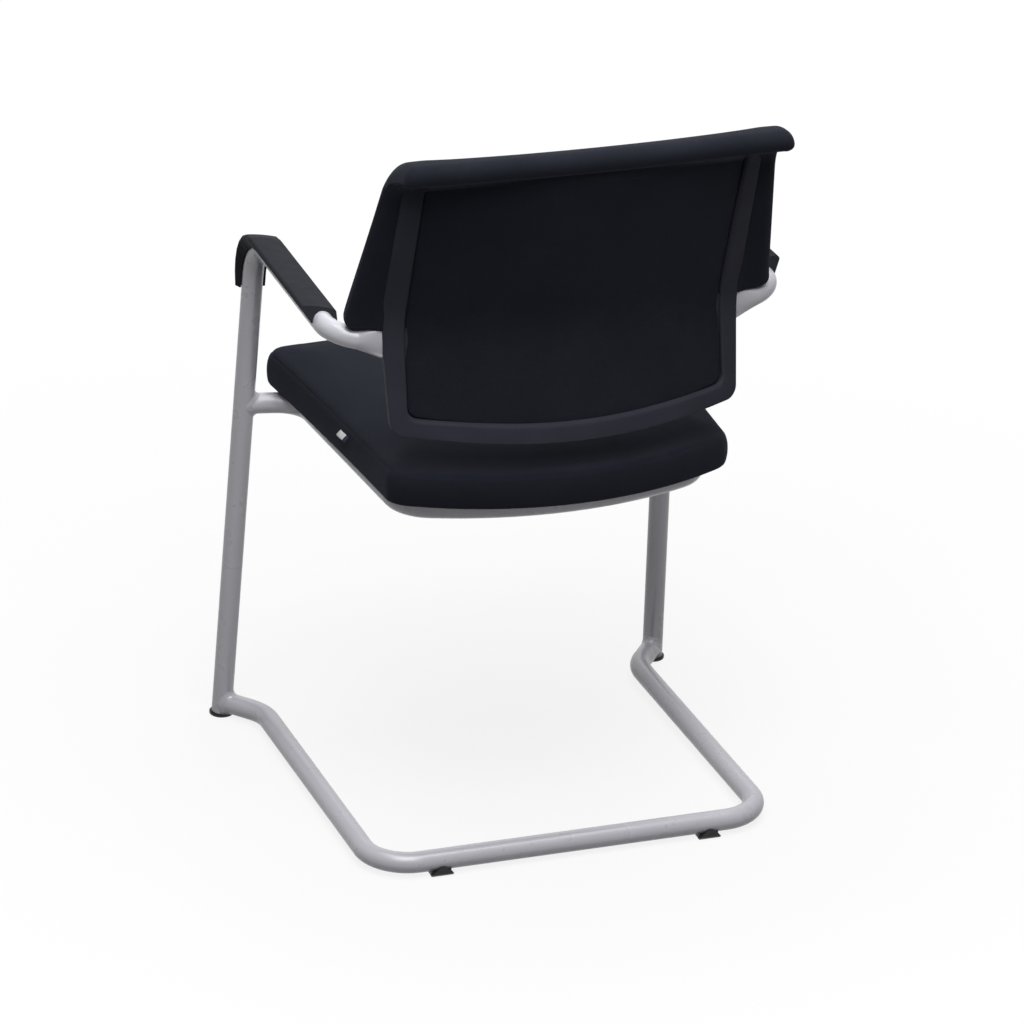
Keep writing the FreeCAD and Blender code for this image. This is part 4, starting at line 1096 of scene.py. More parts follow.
@dataclass
class SeatTag:
    """Blank cloth tag: a folded loop of tape sewn into the left seam."""

    finishes: Finishes
    plane: SeatPlane = field(default_factory=SeatPlane)
    seam_x: float = 219.4
    seam_y: float = 25.5
    seam_z: float = 468.6
    drop: float = 6.4
    length: float = 24.0
    thickness: float = 1.3
    sag: float = 1.0
    lean: float = math.radians(56.0)

    def build(self) -> bpy.types.Object:
        """Carries the loop's section along the seam and closes its ends.

        The section is a hairpin: down one face, round the fold, up the other.

        Returns:
            The tag, riding on the chair.
        """
        rows, half = 17, self.thickness / 2
        down = np.linspace(0.0, self.drop, 9)
        fold = np.linspace(-0.5 * math.pi, 0.5 * math.pi, 7)
        outer = np.column_stack([down, np.full(9, half)])
        bend = np.column_stack([self.drop + half * np.cos(fold), -half * np.sin(fold)])
        inner = np.column_stack([down[::-1], np.full(9, -half)])
        section = np.concatenate([outer, bend[1:-1], inner])
        along = np.linspace(-0.5, 0.5, rows) * self.length
        bow = self.sag * (section[:, 0] / self.drop) ** 2
        away = section[:, 1] * math.cos(self.lean) + section[:, 0] * math.sin(self.lean)
        fall = section[:, 0] * math.cos(self.lean) - section[:, 1] * math.sin(self.lean) + bow
        rings = np.empty((rows, len(section), 3))
        rings[..., 0] = self.seam_x + away[None] - 0.07 * along[:, None]
        rings[..., 1] = self.seam_y + along[:, None] + 0.12 * section[:, 0][None]
        rings[..., 2] = self.seam_z - fall[None] + 0.25 * np.sin(along / 3.5)[:, None]
        ends = [rings[:1] * 0 + rings[row].mean(0) for row in (0, -1)]
        near = rings[:1] * 0.35 + ends[0] * 0.65
        far = rings[-1:] * 0.35 + ends[1] * 0.65
        builder = MeshBuilder()
        builder.add_tube(np.concatenate([ends[0], near, rings, far, ends[1]]))
        piece = builder.write("seat_tag_loop", self.plane.place)
        return self.finishes.shown(piece, Slot.TAG, "seat_tag")


# -------------------------------------------------------------------- back upholstery
@dataclass(frozen=True)
class BackSurface:
    """Curved surface that the frame, the panel and the cushion of the back follow."""

    kink_y: float = 135.6
    kink_z: float = 646.0
    kink_radius: float = 112.0
    lower_slope: float = -0.206
    upper_slope: float = 0.32
    upright_x: float = 212.0
    curve: float = 45.0
    high: float = 852.5

    def line(self, height: Array) -> Array:
        """Side-view line at a height: two slopes joined by an arc about a centre behind.

        Args:
            height: any array of heights.
        Returns:
            Rearward place at each height.
        """
        rise = np.asarray(height, float) - self.kink_z
        slope = np.where(rise > 0, self.upper_slope, self.lower_slope)
        straight = self.kink_y + slope * rise
        down = np.array([-self.lower_slope, -1.0]) / math.hypot(1.0, self.lower_slope)
        up = np.array([self.upper_slope, 1.0]) / math.hypot(1.0, self.upper_slope)
        half = math.acos(float(down @ up)) / 2
        bisector = (down + up) / np.linalg.norm(down + up)
        centre = np.array([self.kink_y, self.kink_z])
        centre = centre + bisector * self.kink_radius / math.sin(half)
        reach = self.kink_radius / math.tan(half)
        depth = self.kink_radius**2 - (rise + self.kink_z - centre[1]) ** 2
        arc = centre[0] - np.sqrt(np.maximum(depth, 0.0))
        inside = (rise > down[1] * reach) & (rise < up[1] * reach)
        return np.where(inside, arc, straight)

    def bow(self, x: Array) -> Array:
        """How far the surface stands rearward of its uprights at x, in plan."""
        return self.curve * (1 - (np.asarray(x, float) / self.upright_x) ** 2)

    def point(self, x: Array, height: Array, offset: Array) -> Array:
        """Points at x and height, moved forward from the surface by offset."""
        y = self.line(height) + self.bow(x) - offset
        return np.stack(np.broadcast_arrays(x, y, height), -1)

    def wrap(self, points: Array) -> Array:
        """Points (x, height, offset) laid on the surface, (K, 3)."""
        return self.point(points[:, 0], points[:, 1], points[:, 2])


@dataclass
class BackCushion:
    """Back cushion: wings beside the frame, a lumbar crown and a bead along the top."""

    finishes: Finishes
    surface: BackSurface = field(default_factory=BackSurface)
    wing_x: float = 258.5
    wing_z: float = 646.0
    wing_taper: float = 0.128
    wing_bow_x: float = 245.0
    wing_blend: float = 0.95
    wing_step: float = 4.0
    body_x: float = 188.0
    body_low: float = 526.0
    wing_low: float = 637.0
    wing_low_tip: float = 647.5
    corner: float = 9.5
    thickness: float = 40.0
    wing_thickness: float = 24.0
    top_thickness: float = 30.0
    wing_top_thickness: float = 13.0
    inner_step: float = 17.6
    step_from_x: float = 205.0
    step_to_x: float = 214.0
    step_from_z: float = 780.0
    step_to_z: float = 842.0
    curl_drop: float = 38.0
    thin_side: float = 0.06
    roll_y: float = 242.0
    roll_z: float = 865.0
    roll_dip: float = 2.0
    roll_radius: float = 13.0
    thin_roll: float = 0.12
    tuck_start: float = -112.0
    tuck_ease: float = 42.0
    tuck_end: float = 1.7
    shoulder_z: float = 832.0
    shoulder_drop: float = 22.0
    waist_gain: float = 2.0
    hem_loss: float = 8.0
    crown_from_z: float = 630.0
    crown_to_z: float = 845.0
    hem_from_z: float = 520.0
    hem_to_z: float = 620.0
    wings_above_z: float = 600.0
    toe_height: float = 9.0
    top_corner: float = 4.0
    pinch_from: float = 0.945
    slack: float = -0.6
    swell_pressure: float = 4.0
    swell_cap: float = 4.0
    fold_x: float = 214.0
    fold_z: float = 852.0
    fold_slope: float = 0.55
    fold_depth: float = 2.2
    fold_width: float = 3.0
    fold_reach: tuple[float, float, float, float] = (204.0, 212.0, 222.0, 232.0)
    shell_from_x: float = 206.0
    shell_to_x: float = 222.0
    shell_bow_x: float = 212.0
    shell_from: float = 19.0
    shell_to: float = 26.0
    free_from_z: float = 835.0
    free_to_z: float = 850.0
    wing_hold: float = 0.72

    def edge(self, height: Array) -> Array:
        """Half width of the wings at a height."""
        return self.wing_x - self.wing_taper * np.maximum(height - self.wing_z, 0.0)

    def stations(self) -> Array:
        """Stations at which the cushion is cut, close together where it turns.

        Returns:
            (M,) shares of the half width, from -1 to 1.
        """
        notch = self.body_x / self.wing_x
        half = np.concatenate(
            [
                np.linspace(0.0, notch - 0.03, 33),
                np.linspace(notch - 0.022, notch + 0.045, 15),
                np.linspace(notch + 0.06, 0.93, 11),
                0.94 + 0.06 * np.sin(np.linspace(0.0, math.pi / 2, 11)),
            ]
        )
        return np.concatenate([-half[:0:-1], half])

    def low_end(self, share: Array) -> Array:
        """Height of the lower edge: the body's hem, then the wings' undersides.

        The wing's outer corner is rounded by r - sqrt(r^2 - d^2).

        Args:
            share: (M,) from -1 to 1.
        Returns:
            (M,) heights.
        """
        x = np.abs(share) * self.wing_x
        along = np.clip((x - self.body_x) / (self.wing_x - self.body_x), 0.0, 1.0)
        wing = self.wing_low + (self.wing_low_tip - self.wing_low) * along
        past = np.clip(x - (self.wing_x - self.corner), 0.0, self.corner)
        wing = wing + self.corner - np.sqrt(self.corner**2 - past**2)
        turn = smooth_step(x, self.body_x - 3.0, self.body_x + 5.0)
        sag = 3.0 * (x / self.body_x) ** 2 * (1 - turn)
        return self.body_low + sag + (wing - self.body_low - sag) * turn

    def sections(self, share: Array) -> Array:
        """Side-view sections, one closed loop for each share of the half width.

        Up the rear face, by an arc to the underside of the bead, round the bead, and down
        the front by shoulder, waist and hem to the rounded lower edge.

        Args:
            share: (M,) from -1 to 1.
        Returns:
            (M, N, 3) points.
        """
        size = np.abs(share)
        bow = self.surface.bow(np.minimum(size * self.wing_bow_x, self.surface.upright_x))
        x = size * self.wing_x
        blend = np.minimum(size / self.wing_blend, 1.0) ** 2
        waist = self.thickness + (self.wing_thickness - self.thickness) * blend
        top = self.top_thickness + (self.wing_top_thickness - self.top_thickness) * blend
        pinch = np.clip((size - self.pinch_from) / (1 - self.pinch_from), 0.0, 1.0)
        round_ = np.sqrt(np.maximum(1 - pinch**2, 0.0)) * (1 - self.thin_side) + self.thin_side
        inside = 1 - smooth_step(x, self.step_from_x, self.step_to_x)
        behind = self.wing_step + (self.inner_step - self.wing_step) * inside
        low = self.low_end(share)
        col = (slice(None), None)

        def y_at(height: Array, offset: Array) -> Array:
            """Rearward place at a height, moved forward by offset."""
            return self.surface.line(height) + bow[col] - offset

        curl = self.surface.high - self.curl_drop * (1 - bow / self.surface.curve) - 4.0
        rise = np.linspace(0.0, 1.0, 58)[None]
        rear_z = low[col] + (curl - low)[col] * rise
        lift = smooth_step(rear_z, self.step_from_z, self.step_to_z)
        rear_offset = behind[col] + (self.wing_step - behind)[col] * lift
        mid_offset = (self.wing_step + 0.5 * (waist + (top - waist) * 0.5))[col]
        rear_offset = mid_offset + (rear_offset - mid_offset) * round_[col]
        rear = np.stack([y_at(rear_z, rear_offset), rear_z], -1)

        drop = self.top_corner * (1 - np.sqrt(np.maximum(1 - pinch**2, 0.0)))
        radius = self.roll_radius * (self.thin_roll + (1 - self.thin_roll) * round_)
        centre = np.stack(
            [
                np.full_like(size, self.roll_y) - 0.4 * drop,
                self.roll_z - self.roll_dip * bow / self.surface.curve - drop,
            ],
            -1,
        )
        tuck = np.radians(self.tuck_start + self.tuck_ease * bow / self.surface.curve)
        turn = tuck[col] + (self.tuck_end - tuck)[col] * np.linspace(0.0, 1.0, 20)[None]
        bead = np.stack([np.cos(turn), np.sin(turn)], -1) * radius[:, None, None]
        bead = centre[:, None] + bead
        up = rear[:, -1] - rear[:, -2]
        neck = arc_from(rear[:, -1], up, bead[:, 0], 9)
        forward = np.broadcast_to(np.array([-1.0, 0.0]), up.shape)
        front_top = self.wing_step + 0.5 * top + 0.5 * top * round_
        shoulder_z = np.minimum(self.shoulder_z, centre[:, 1] - self.shoulder_drop)
        shoulder = np.stack([y_at(shoulder_z[col], front_top[col])[:, 0], shoulder_z], -1)
        over = arc_from(bead[:, -1], forward, shoulder, 13)
        fall = np.linspace(0.0, 1.0, 57)[None]
        end_z = low + self.toe_height
        front_z = shoulder_z[col] + (end_z - shoulder_z)[col] * fall
        depth_top = top[col]
        depth_waist = (waist + self.waist_gain)[col]
        depth_hem = (waist - self.hem_loss)[col]
        toward_top = smooth_step(front_z, self.crown_from_z, self.crown_to_z)
        toward_hem = 1 - smooth_step(front_z, self.hem_from_z, self.hem_to_z)
        depth = depth_waist + (depth_top - depth_waist) * toward_top
        depth = depth + (depth_hem - depth) * toward_hem * (low < self.wings_above_z)[col]
        front_offset = self.wing_step + depth / 2 + depth / 2 * round_[col]
        front = np.stack([y_at(front_z, front_offset), front_z], -1)
        swing = np.linspace(0.0, math.pi / 2, 9)[None]
        toe_y = front[:, -1:, 0] + (rear[:, :1, 0] - front[:, -1:, 0]) * (1 - np.cos(swing))
        toe_z = end_z[col] + (low - end_z)[col] * np.sin(swing)
        toe = np.stack([toe_y, toe_z], -1)
        loop = np.concatenate(
            [rear, neck[:, 1:], bead[:, 1:], over[:, 1:], front[:, 1:], toe[:, 1:-1]], 1
        )
        across = share[:, None] * (self.edge(loop[..., 1]) - self.slack)
        return np.stack([across, loop[..., 0], loop[..., 1]], -1)

    def build(self) -> bpy.types.Object:
        """Makes the cover, swells it, and presses in the folds at its bead's ends.

        Returns:
            The cushion, riding on the chair.
        """
        rings = self.sections(self.stations())
        builder = MeshBuilder()
        first = builder.add_tube(rings)
        count, around = rings.shape[:2]
        for row in (0, count - 1):
            half = around // 2
            index = first + row * around + np.arange(around)
            pairs = np.stack([index[:half], index[::-1][:half]])
            cloth = np.zeros((2, half, 2))
            cloth[..., 0] = np.arange(half) * 5.0
            cloth[1, :, 1] = 4.0
            builder.add_index_grid(pairs, cloth)
        piece = builder.write("back_cushion_cover")
        held = self.held(read_points(piece) / MM)
        puffed(piece, self.swell_pressure, self.swell_cap, held)
        subdivided(piece)
        self.press_folds(piece)
        return self.finishes.shown(piece, Slot.CLOTH, "back_cushion")

    def held(self, points: Array) -> Array:
        """Share by which points are held: all of it where they lie on shell and frame.

        Args:
            points: (K, 3) of the cover.
        Returns:
            (K,) shares.
        """
        x, y, z = points.T
        inside = 1 - smooth_step(np.abs(x), self.shell_from_x, self.shell_to_x)
        bow = self.surface.bow(np.minimum(np.abs(x), self.shell_bow_x))
        depth = self.surface.line(z) + bow - y
        rear = 1 - smooth_step(depth, self.shell_from, self.shell_to)
        below = 1 - smooth_step(z, self.free_from_z, self.free_to_z)
        near_frame = np.maximum(inside, self.wing_hold)
        return near_frame * rear * below

    def press_folds(self, piece: bpy.types.Object) -> None:
        """Presses in the crease under each end of the bead.

        A point moves along its normal by -d exp(-(h/w)^2), h being its height off the
        crease's line.

        Args:
            piece: the swollen cover.
        """
        points = read_points(piece) / MM
        normals = read_normals(piece)
        x, z = np.abs(points[:, 0]), points[:, 2]
        rear = normals[:, 1] > 0.1
        line = self.fold_z - self.fold_slope * (x - self.fold_x)
        crease = -self.fold_depth * np.exp(-(((z - line) / self.fold_width) ** 2))
        begins, full, fades, ends = self.fold_reach
        crease *= smooth_step(x, begins, full) * (1 - smooth_step(x, fades, ends)) * rear
        write_points(piece, (points + normals * crease[:, None]) * MM)


@dataclass
class RearPanel:
    """Cloth panel stretched inside the window of the back frame."""

    finishes: Finishes
    surface: BackSurface = field(default_factory=BackSurface)
    shape: FourSided = field(default_factory=lambda: FourSided((76, 62)))
    half_width: float = 190.7
    low_side: float = 541.3
    low_middle: float = 530.3
    high: float = 851.0
    corner: float = 12.0
    rear_offset: float = 5.6
    front_offset: float = 9.8
    edge_round: float = 2.6
    crown: float = 1.2

    def outline(self, inset: float) -> Array:
        """Loop round the panel in (x, height).

        Args:
            inset: how far the loop is drawn in.
        Returns:
            (2 (nu + nv), 2) points.
        """
        x = self.half_width - inset
        low, high = self.low_side + inset, self.high - inset
        corner = max(self.corner - inset, 3.0)
        turn = math.sin(math.radians(45.0))
        start, end = np.array([x - corner, low]), np.array([x, low + corner])
        middle = np.array([x - corner + corner * turn, low + corner - corner * turn])
        bend = arc_through(start, middle, end, BEND_POINTS)
        half = BEND_POINTS // 2
        flip = np.array([-1.0, 1.0])
        dip = np.array([0.0, self.low_middle + inset])
        bottom = arc_through(start * flip, dip, start, SIDE_POINTS)
        left = np.concatenate([bend[half:], np.array([[x, high]])])
        front_right = (bend[: half + 1] * flip)[::-1]
        front = np.concatenate([front_right, bottom[1:], bend[1 : half + 1]])
        rear = np.array([[-x, high], [x, high]])
        return self.shape.loop(front, left, rear, left * flip)

    def build(self) -> bpy.types.Object:
        """Makes the panel, a little crowned, with its cloth turned in round the edge.

        Returns:
            The panel, riding on the chair.
        """
        builder = MeshBuilder()
        rings = [(1.5, self.front_offset), (0.3, self.front_offset - 0.6)]
        rings.append((0.0, self.rear_offset + self.edge_round))
        for share in (0.25, 0.5, 0.75, 1.0):
            inset = self.edge_round * (1 - math.cos(share * math.pi / 2))
            rise = self.edge_round * (1 - math.sin(share * math.pi / 2))
            rings.append((inset, self.rear_offset + rise))
        nu, nv = self.shape.counts
        front = np.full((nv + 1, nu + 1), self.front_offset)
        crown = self.rear_offset - self.crown * self.shape.swell() ** 0.5
        self.shape.add_shell(builder, rings, self.outline, front, crown)
        piece = builder.write("back_rear_cloth", self.surface.wrap)
        return self.finishes.shown(piece, Slot.CLOTH, "back_rear_panel")


# ------------------------------------------------------------------------ back frame
@dataclass
class BackFrame:
    """Moulded U-shaped frame of the back: a flat band with a rounded inner lip."""

    finishes: Finishes
    surface: BackSurface = field(default_factory=BackSurface)
    top_x: float = 213.0
    wide_x: float = 217.0
    wide_z: float = 680.0
    low_x: float = 210.0
    low_z: float = 523.0
    bow_z: float = 505.0
    outer_corner: float = 13.0
    window_x: float = 191.0
    window_z: float = 541.0
    window_bow_z: float = 530.0
    window_corner: float = 12.0
    thickness: float = 10.0
    lip: float = 4.6
    edge: float = 1.0
    bow_radius: float = 1550.0
    outer_rise: float = 30.0
    corner_turn: float = 0.8
    turn_points: int = 7

    def bottom(self, half_width: float, side_z: float, middle_z: float, x: Array) -> Array:
        """Height of a bowed lower edge: straight ends joined by an arc of the bow radius.

        Args:
            half_width: where the edge reaches its side.
            side_z, middle_z: its height there, and where the two slopes would meet.
            x: places along it.
        Returns:
            Height at each x.
        """
        slope = (side_z - middle_z) / half_width
        reach = self.bow_radius * math.sin(math.atan(slope))
        spread = (x * x - reach * reach) / (2 * self.bow_radius)
        arc = middle_z + slope * reach / 2 + spread + slope * reach / 2
        return np.where(np.abs(x) > reach, middle_z + slope * np.abs(x), arc)

    def outer_x(self, height: Array) -> Array:
        """Half width of the outer edge at a height."""
        marks = [self.low_z, self.wide_z, self.surface.high + self.outer_rise]
        return np.interp(height, marks, [self.low_x, self.wide_x, self.top_x])

    def half_edges(self) -> tuple[Array, Array]:
        """Edges of the band's left half, from the top to the middle.

        Returns:
            Inner and outer edge, (K, 2) each.
        """
        down = np.linspace(0.0, 1.0, 70)
        across = np.linspace(1.0, 0.0, 46)

        def edge(
            corner: float, x_low: float, z_low: float, z_mid: float, x_at: Mapping
        ) -> Array:
            """One edge: down the upright, round the corner, along the bowed bottom.

            Args:
                corner: radius between upright and bottom.
                x_low: half width at the bottom.
                z_low, z_mid: heights of the bottom, as bottom() takes them.
                x_at: half width at each height of the upright.
            Returns:
                (K, 2) points, as (x, height).
            """
            top = self.surface.high
            upright_z = top + (z_low + corner - top) * down
            upright = np.column_stack([x_at(upright_z), upright_z])
            x_turn = x_low - corner
            z_turn = float(self.bottom(x_low, z_low, z_mid, np.array(x_turn)))
            start, end = upright[-1], np.array([x_turn, z_turn])
            centre = np.array([x_turn + 0.4, z_low + corner])
            aim = np.array([math.cos(self.corner_turn), -math.sin(self.corner_turn)])
            bend = arc_through(start, centre + corner * aim, end, 15)
            x_flat = x_turn * across
            z_flat = self.bottom(x_low, z_low, z_mid, x_flat)
            flat = np.column_stack([x_flat, z_flat])
            return np.concatenate([upright, bend[1:-1], flat])

        inner = edge(
            self.window_corner,
            self.window_x,
            self.window_z,
            self.window_bow_z,
            lambda height: np.full_like(height, self.window_x),
        )
        outer = edge(self.outer_corner, self.low_x, self.low_z, self.bow_z, self.outer_x)
        return inner, outer

    def profile(self) -> tuple[Array, Array, Array]:
        """Section of the band.

        The inner lip and the outer edge are quarter circles; the front is nearly square.

        Returns:
            Share of the band's width, shift from there, and offset, of each point.
        """
        turn = np.linspace(0.0, math.pi / 2, self.turn_points)
        lip = np.column_stack(
            [
                np.zeros(self.turn_points),
                self.lip * (1 - np.cos(turn)),
                self.lip * (1 - np.sin(turn)),
            ]
        )
        flat = np.array([[0.35, 1.2, 0.0], [0.5, 0.0, 0.0], [0.7, -0.6, 0.0]])
        turn = turn[1:]
        shoulder = np.column_stack(
            [
                np.ones(self.turn_points),
                np.concatenate([[-self.edge], -self.edge * (1 - np.sin(turn))]),
                np.concatenate([[0.0], self.edge * (1 - np.cos(turn))]),
            ]
        )
        deep = self.thickness
        front = np.array(
            [
                [1.0, 0.0, deep - 0.8],
                [1.0, -0.25, deep - 0.25],
                [1.0, -0.8, deep],
                [0.5, 0.0, deep],
                [0.0, 0.8, deep],
                [0.0, 0.25, deep - 0.25],
                [0.0, 0.0, deep - 0.8],
            ]
        )
        rows = np.concatenate([lip, flat, shoulder, front])
        return rows[:, 0], rows[:, 1], rows[:, 2]

    def build(self) -> bpy.types.Object:
        """Carries the section round the U and closes its two ends.

        Returns:
            The band, riding on the chair.
        """
        inner, outer = self.half_edges()
        flip = np.array([-1.0, 1.0])
        inner = np.concatenate([inner, inner[-2::-1] * flip])
        outer = np.concatenate([outer, outer[-2::-1] * flip])
        width = np.linalg.norm(outer - inner, axis=1)[:, None]
        aim = (outer - inner) / width
        share, shift, offset = self.profile()
        reach = share[None] * width + shift[None]
        plan = inner[:, None] + reach[..., None] * aim[:, None]
        rings = np.concatenate([plan, np.broadcast_to(offset, reach.shape)[..., None]], -1)
        ends = [np.repeat(rings[row].mean(0)[None], len(share), 0)[None] for row in (0, -1)]
        builder = MeshBuilder()
        builder.add_tube(np.concatenate([ends[0], rings, ends[1]]))
        piece = builder.write("back_frame_band", self.surface.wrap)
        return self.finishes.shown(piece, Slot.FRAME, "back_frame")


@dataclass
class ArmSockets:
    """Two rounded sockets on the front of the back frame, round the arms' flat ends."""

    finishes: Finishes
    hook: Point = (269.0, 117.0, 636.5)
    tip: Point = (168.0, 144.0, 616.0)
    surface: BackSurface = field(default_factory=BackSurface)
    depth: float = 20.0
    height: float = 47.0
    corner: float = 3.0
    panel_edge: float = 192.5
    behind_panel: float = 10.4
    behind_frame: float = 3.0

    def build(self) -> bpy.types.Object:
        """Makes both sockets: rounded rectangles carried along the tip, drawn in at the ends.

        Returns:
            The sockets, riding on the chair.
        """
        tip, hook = np.array(self.tip), np.array(self.hook)
        along = (tip - hook) / np.linalg.norm(tip - hook)
        rear = np.cross(along, [0.0, 0.0, 1.0])
        rear /= np.linalg.norm(rear)
        up = np.cross(rear, along)
        turn = np.linspace(0.0, math.pi / 2, 6)
        corners = []
        for quarter, (side_a, side_b) in enumerate(((1, 1), (-1, 1), (-1, -1), (1, -1))):
            angle = turn + quarter * math.pi / 2
            middle = np.array([side_a * (self.depth / 2), side_b * (self.height / 2)])
            middle -= np.array([side_a, side_b]) * self.corner
            corners.append(middle + self.corner * np.column_stack([np.cos(angle), np.sin(angle)]))
        section = np.concatenate(corners)
        stops = np.array([[-36.0, 0.0], [-36.0, 0.8], [-35.2, 0.95], [-33.5, 1.0], [0.0, 1.0]])
        stops = np.concatenate([stops, [[3.5, 1.0], [5.2, 0.95], [6.0, 0.8], [6.0, 0.0]]])
        rings = (
            tip
            + stops[:, None, :1] * along
            + stops[:, None, 1:] * (section[None, :, :1] + 0.5) * rear
            + stops[:, None, 1:] * section[None, :, 1:] * up
        )
        builder = MeshBuilder()
        builder.add_tube(rings)
        builder.add_tube(rings * np.array([-1.0, 1.0, 1.0]))
        piece = builder.write("back_frame_sockets", self.in_front)
        return self.finishes.shown(piece, Slot.FRAME)

    def in_front(self, points: Array) -> Array:
        """Keeps points in front of the frame's band, and of the panel inside its window.

        Args:
            points: (K, 3) of the sockets.
        Returns:
            (K, 3) points, moved forward where they must be.
        """
        x, y, z = points.T
        over_panel = np.abs(x) < self.panel_edge
        least = np.where(over_panel, self.behind_panel, self.behind_frame)
        limit = self.surface.line(z) + self.surface.bow(x) - least
        return np.column_stack([x, np.minimum(y, limit), z])


# --------------------------------------------------------------------------- welds
@dataclass
class Welds:
    """Smooth weld fillets where the floor and seat tubes meet the legs."""

    finishes: Finishes
    plane: SeatPlane = field(default_factory=SeatPlane)
    foot: Point = (281.0, -238.0, 0.0)
    lean: Point = (-0.0295, 0.082, 1.0)
    radius: float = 12.5
    floor_end: Point = (242.0, -188.0, 16.5)
    seat_end: Point = (201.0, -190.0, 416.5)
    reach: float = 6.0
    sunk: float = 0.7
    hollow: float = 0.8
    shrink: float = 0.999
    ripples: int = 17
    ripple_rise: float = 0.05
    directions: int = 72
    clearance: float = 2.0

    def leg_at(self, height: float) -> Array:
        """Point of the left leg's axis at a height."""
        return np.array(self.foot) + np.array(self.lean) * height

    def ring(self, start: Array, corner: Array) -> Array:
        """One fillet round the joint of a level tube and the left leg.

        At each angle round the tube, its surface line q + s d meets the leg where
        |q + s d| across the leg's axis equals the leg's radius. The fillet is the
        quadratic curve from a point further along the tube, by way of that meeting
        point, to a point further round the leg, with its back sunk in both tubes.

        Args:
            start: where the tube's axis meets the leg's.
            corner: a point further along the tube's axis.
        Returns:
            (72, N, 3) closed sections.
        """
        leg = np.array(self.lean) / np.linalg.norm(self.lean)
        run = (corner - start) / np.linalg.norm(corner - start)
        side = np.cross(leg, run)
        side /= np.linalg.norm(side)
        top = np.cross(run, side)
        angle = np.linspace(0.0, math.tau, self.directions + 1)[:-1, None]
        out = np.cos(angle) * side + np.sin(angle) * top
        line = out * self.radius * self.shrink

        def across(vector: Array) -> Array:
            """The part of a vector that is square to the leg."""
            return vector - (vector @ leg)[..., None] * leg

        q, d = across(line), across(run[None])[0]
        qd, dd = q @ d, d @ d
        gap = np.sum(q * q, 1) - self.radius**2
        s = (-qd + np.sqrt(np.maximum(qd**2 - dd * gap, 0.0))) / dd
        meet = line + s[:, None] * run
        ripple = 1 + self.ripple_rise * np.sin(angle * self.ripples)
        on_tube = meet + run * self.reach * ripple
        away = across(meet + out * self.reach * ripple)
        lengthwise = ((meet + out * self.reach * ripple) @ leg)[:, None] * leg
        on_leg = lengthwise + away / np.linalg.norm(away, axis=1, keepdims=True) * self.radius
        steps = np.linspace(0.0, 1.0, 9)[None, :, None]
        face = (
            (1 - steps) ** 2 * on_tube[:, None]
            + 2 * steps * (1 - steps) * (meet + self.hollow * (out + run))[:, None]
            + steps**2 * on_leg[:, None]
        )
        leg_out = across(on_leg) / self.radius
        back = np.stack(
            [
                on_leg - leg_out * self.sunk,
                meet - self.sunk * (out + run),
                on_tube - out * self.sunk,
            ],
            1,
        )
        return start + np.concatenate([face, back], 1)

    def build(self) -> bpy.types.Object:
        """Makes the four fillets as one piece.

        Returns:
            The fillets, riding on the chair.
        """
        floor = self.leg_at(self.floor_end[2])
        seat = self.leg_at(self.seat_end[2])
        joints = [(floor, np.array(self.floor_end))]
        tilted = self.plane.place(np.array([seat, self.seat_end]))
        joints.append((tilted[0], tilted[1]))
        builder = MeshBuilder()
        for start, corner in joints:
            rings = self.ring(start, corner)
            for flip in (1.0, -1.0):
                turned = rings * np.array([flip, 1.0, 1.0])
                first = builder.add_points(turned)
                count, around = turned.shape[:2]
                index = first + np.arange(count * around).reshape(count, around)
                index = np.concatenate([index, index[:1]], 0)
                index = np.concatenate([index, index[:, :1]], 1)
                builder.add_index_grid(index, np.zeros((*index.shape, 2)))
        piece = builder.write("frame_weld_fillets", self.clear_of_floor)
        return self.finishes.shown(piece, Slot.COAT, "frame_welds")

    def clear_of_floor(self, points: Array) -> Array:
        """Lifts points so that nothing reaches below the clearance over the floor.

        Args:
            points: (K, 3) of the fillets.
        Returns:
            (K, 3) points.
        """
        lifted = points.copy()
        lifted[:, 2] = np.maximum(lifted[:, 2], self.clearance)
        return lifted


# ------------------------------------------------------------------- carried-over parts
@dataclass
class CarriedParts:
    """Tubes, pads, board, fasteners and glides, which keep their own solids."""

    finishes: Finishes
    slots: dict[str, Slot] = field(
        default_factory=lambda: {
            "side_tube_left": Slot.COAT,
            "side_tube_right": Slot.COAT,
            "floor_tube": Slot.COAT,
            "seat_tube": Slot.COAT,
            "seat_lugs": Slot.COAT,
            "seat_board": Slot.PLYWOOD,
            "seat_tee_nuts": Slot.ZINC,
            "seat_screws": Slot.ZINC,
            "arm_end_screws": Slot.ZINC,
            "back_shell_screws": Slot.ZINC,
            "back_shell": Slot.FRAME,
            "arm_pad_left": Slot.PAD,
            "arm_pad_right": Slot.PAD,
            "front_glide_left": Slot.GLIDE,
            "front_glide_right": Slot.GLIDE,
            "rear_glide_left": Slot.GLIDE,
            "rear_glide_right": Slot.GLIDE,
        }
    )

    def build(self) -> None:
        """Gives every carried-over node its finish."""
        for name, slot in self.slots.items():
            self.finishes.dress(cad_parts[name], slot)
            LOG.info("%s: %s", name, slot.value)


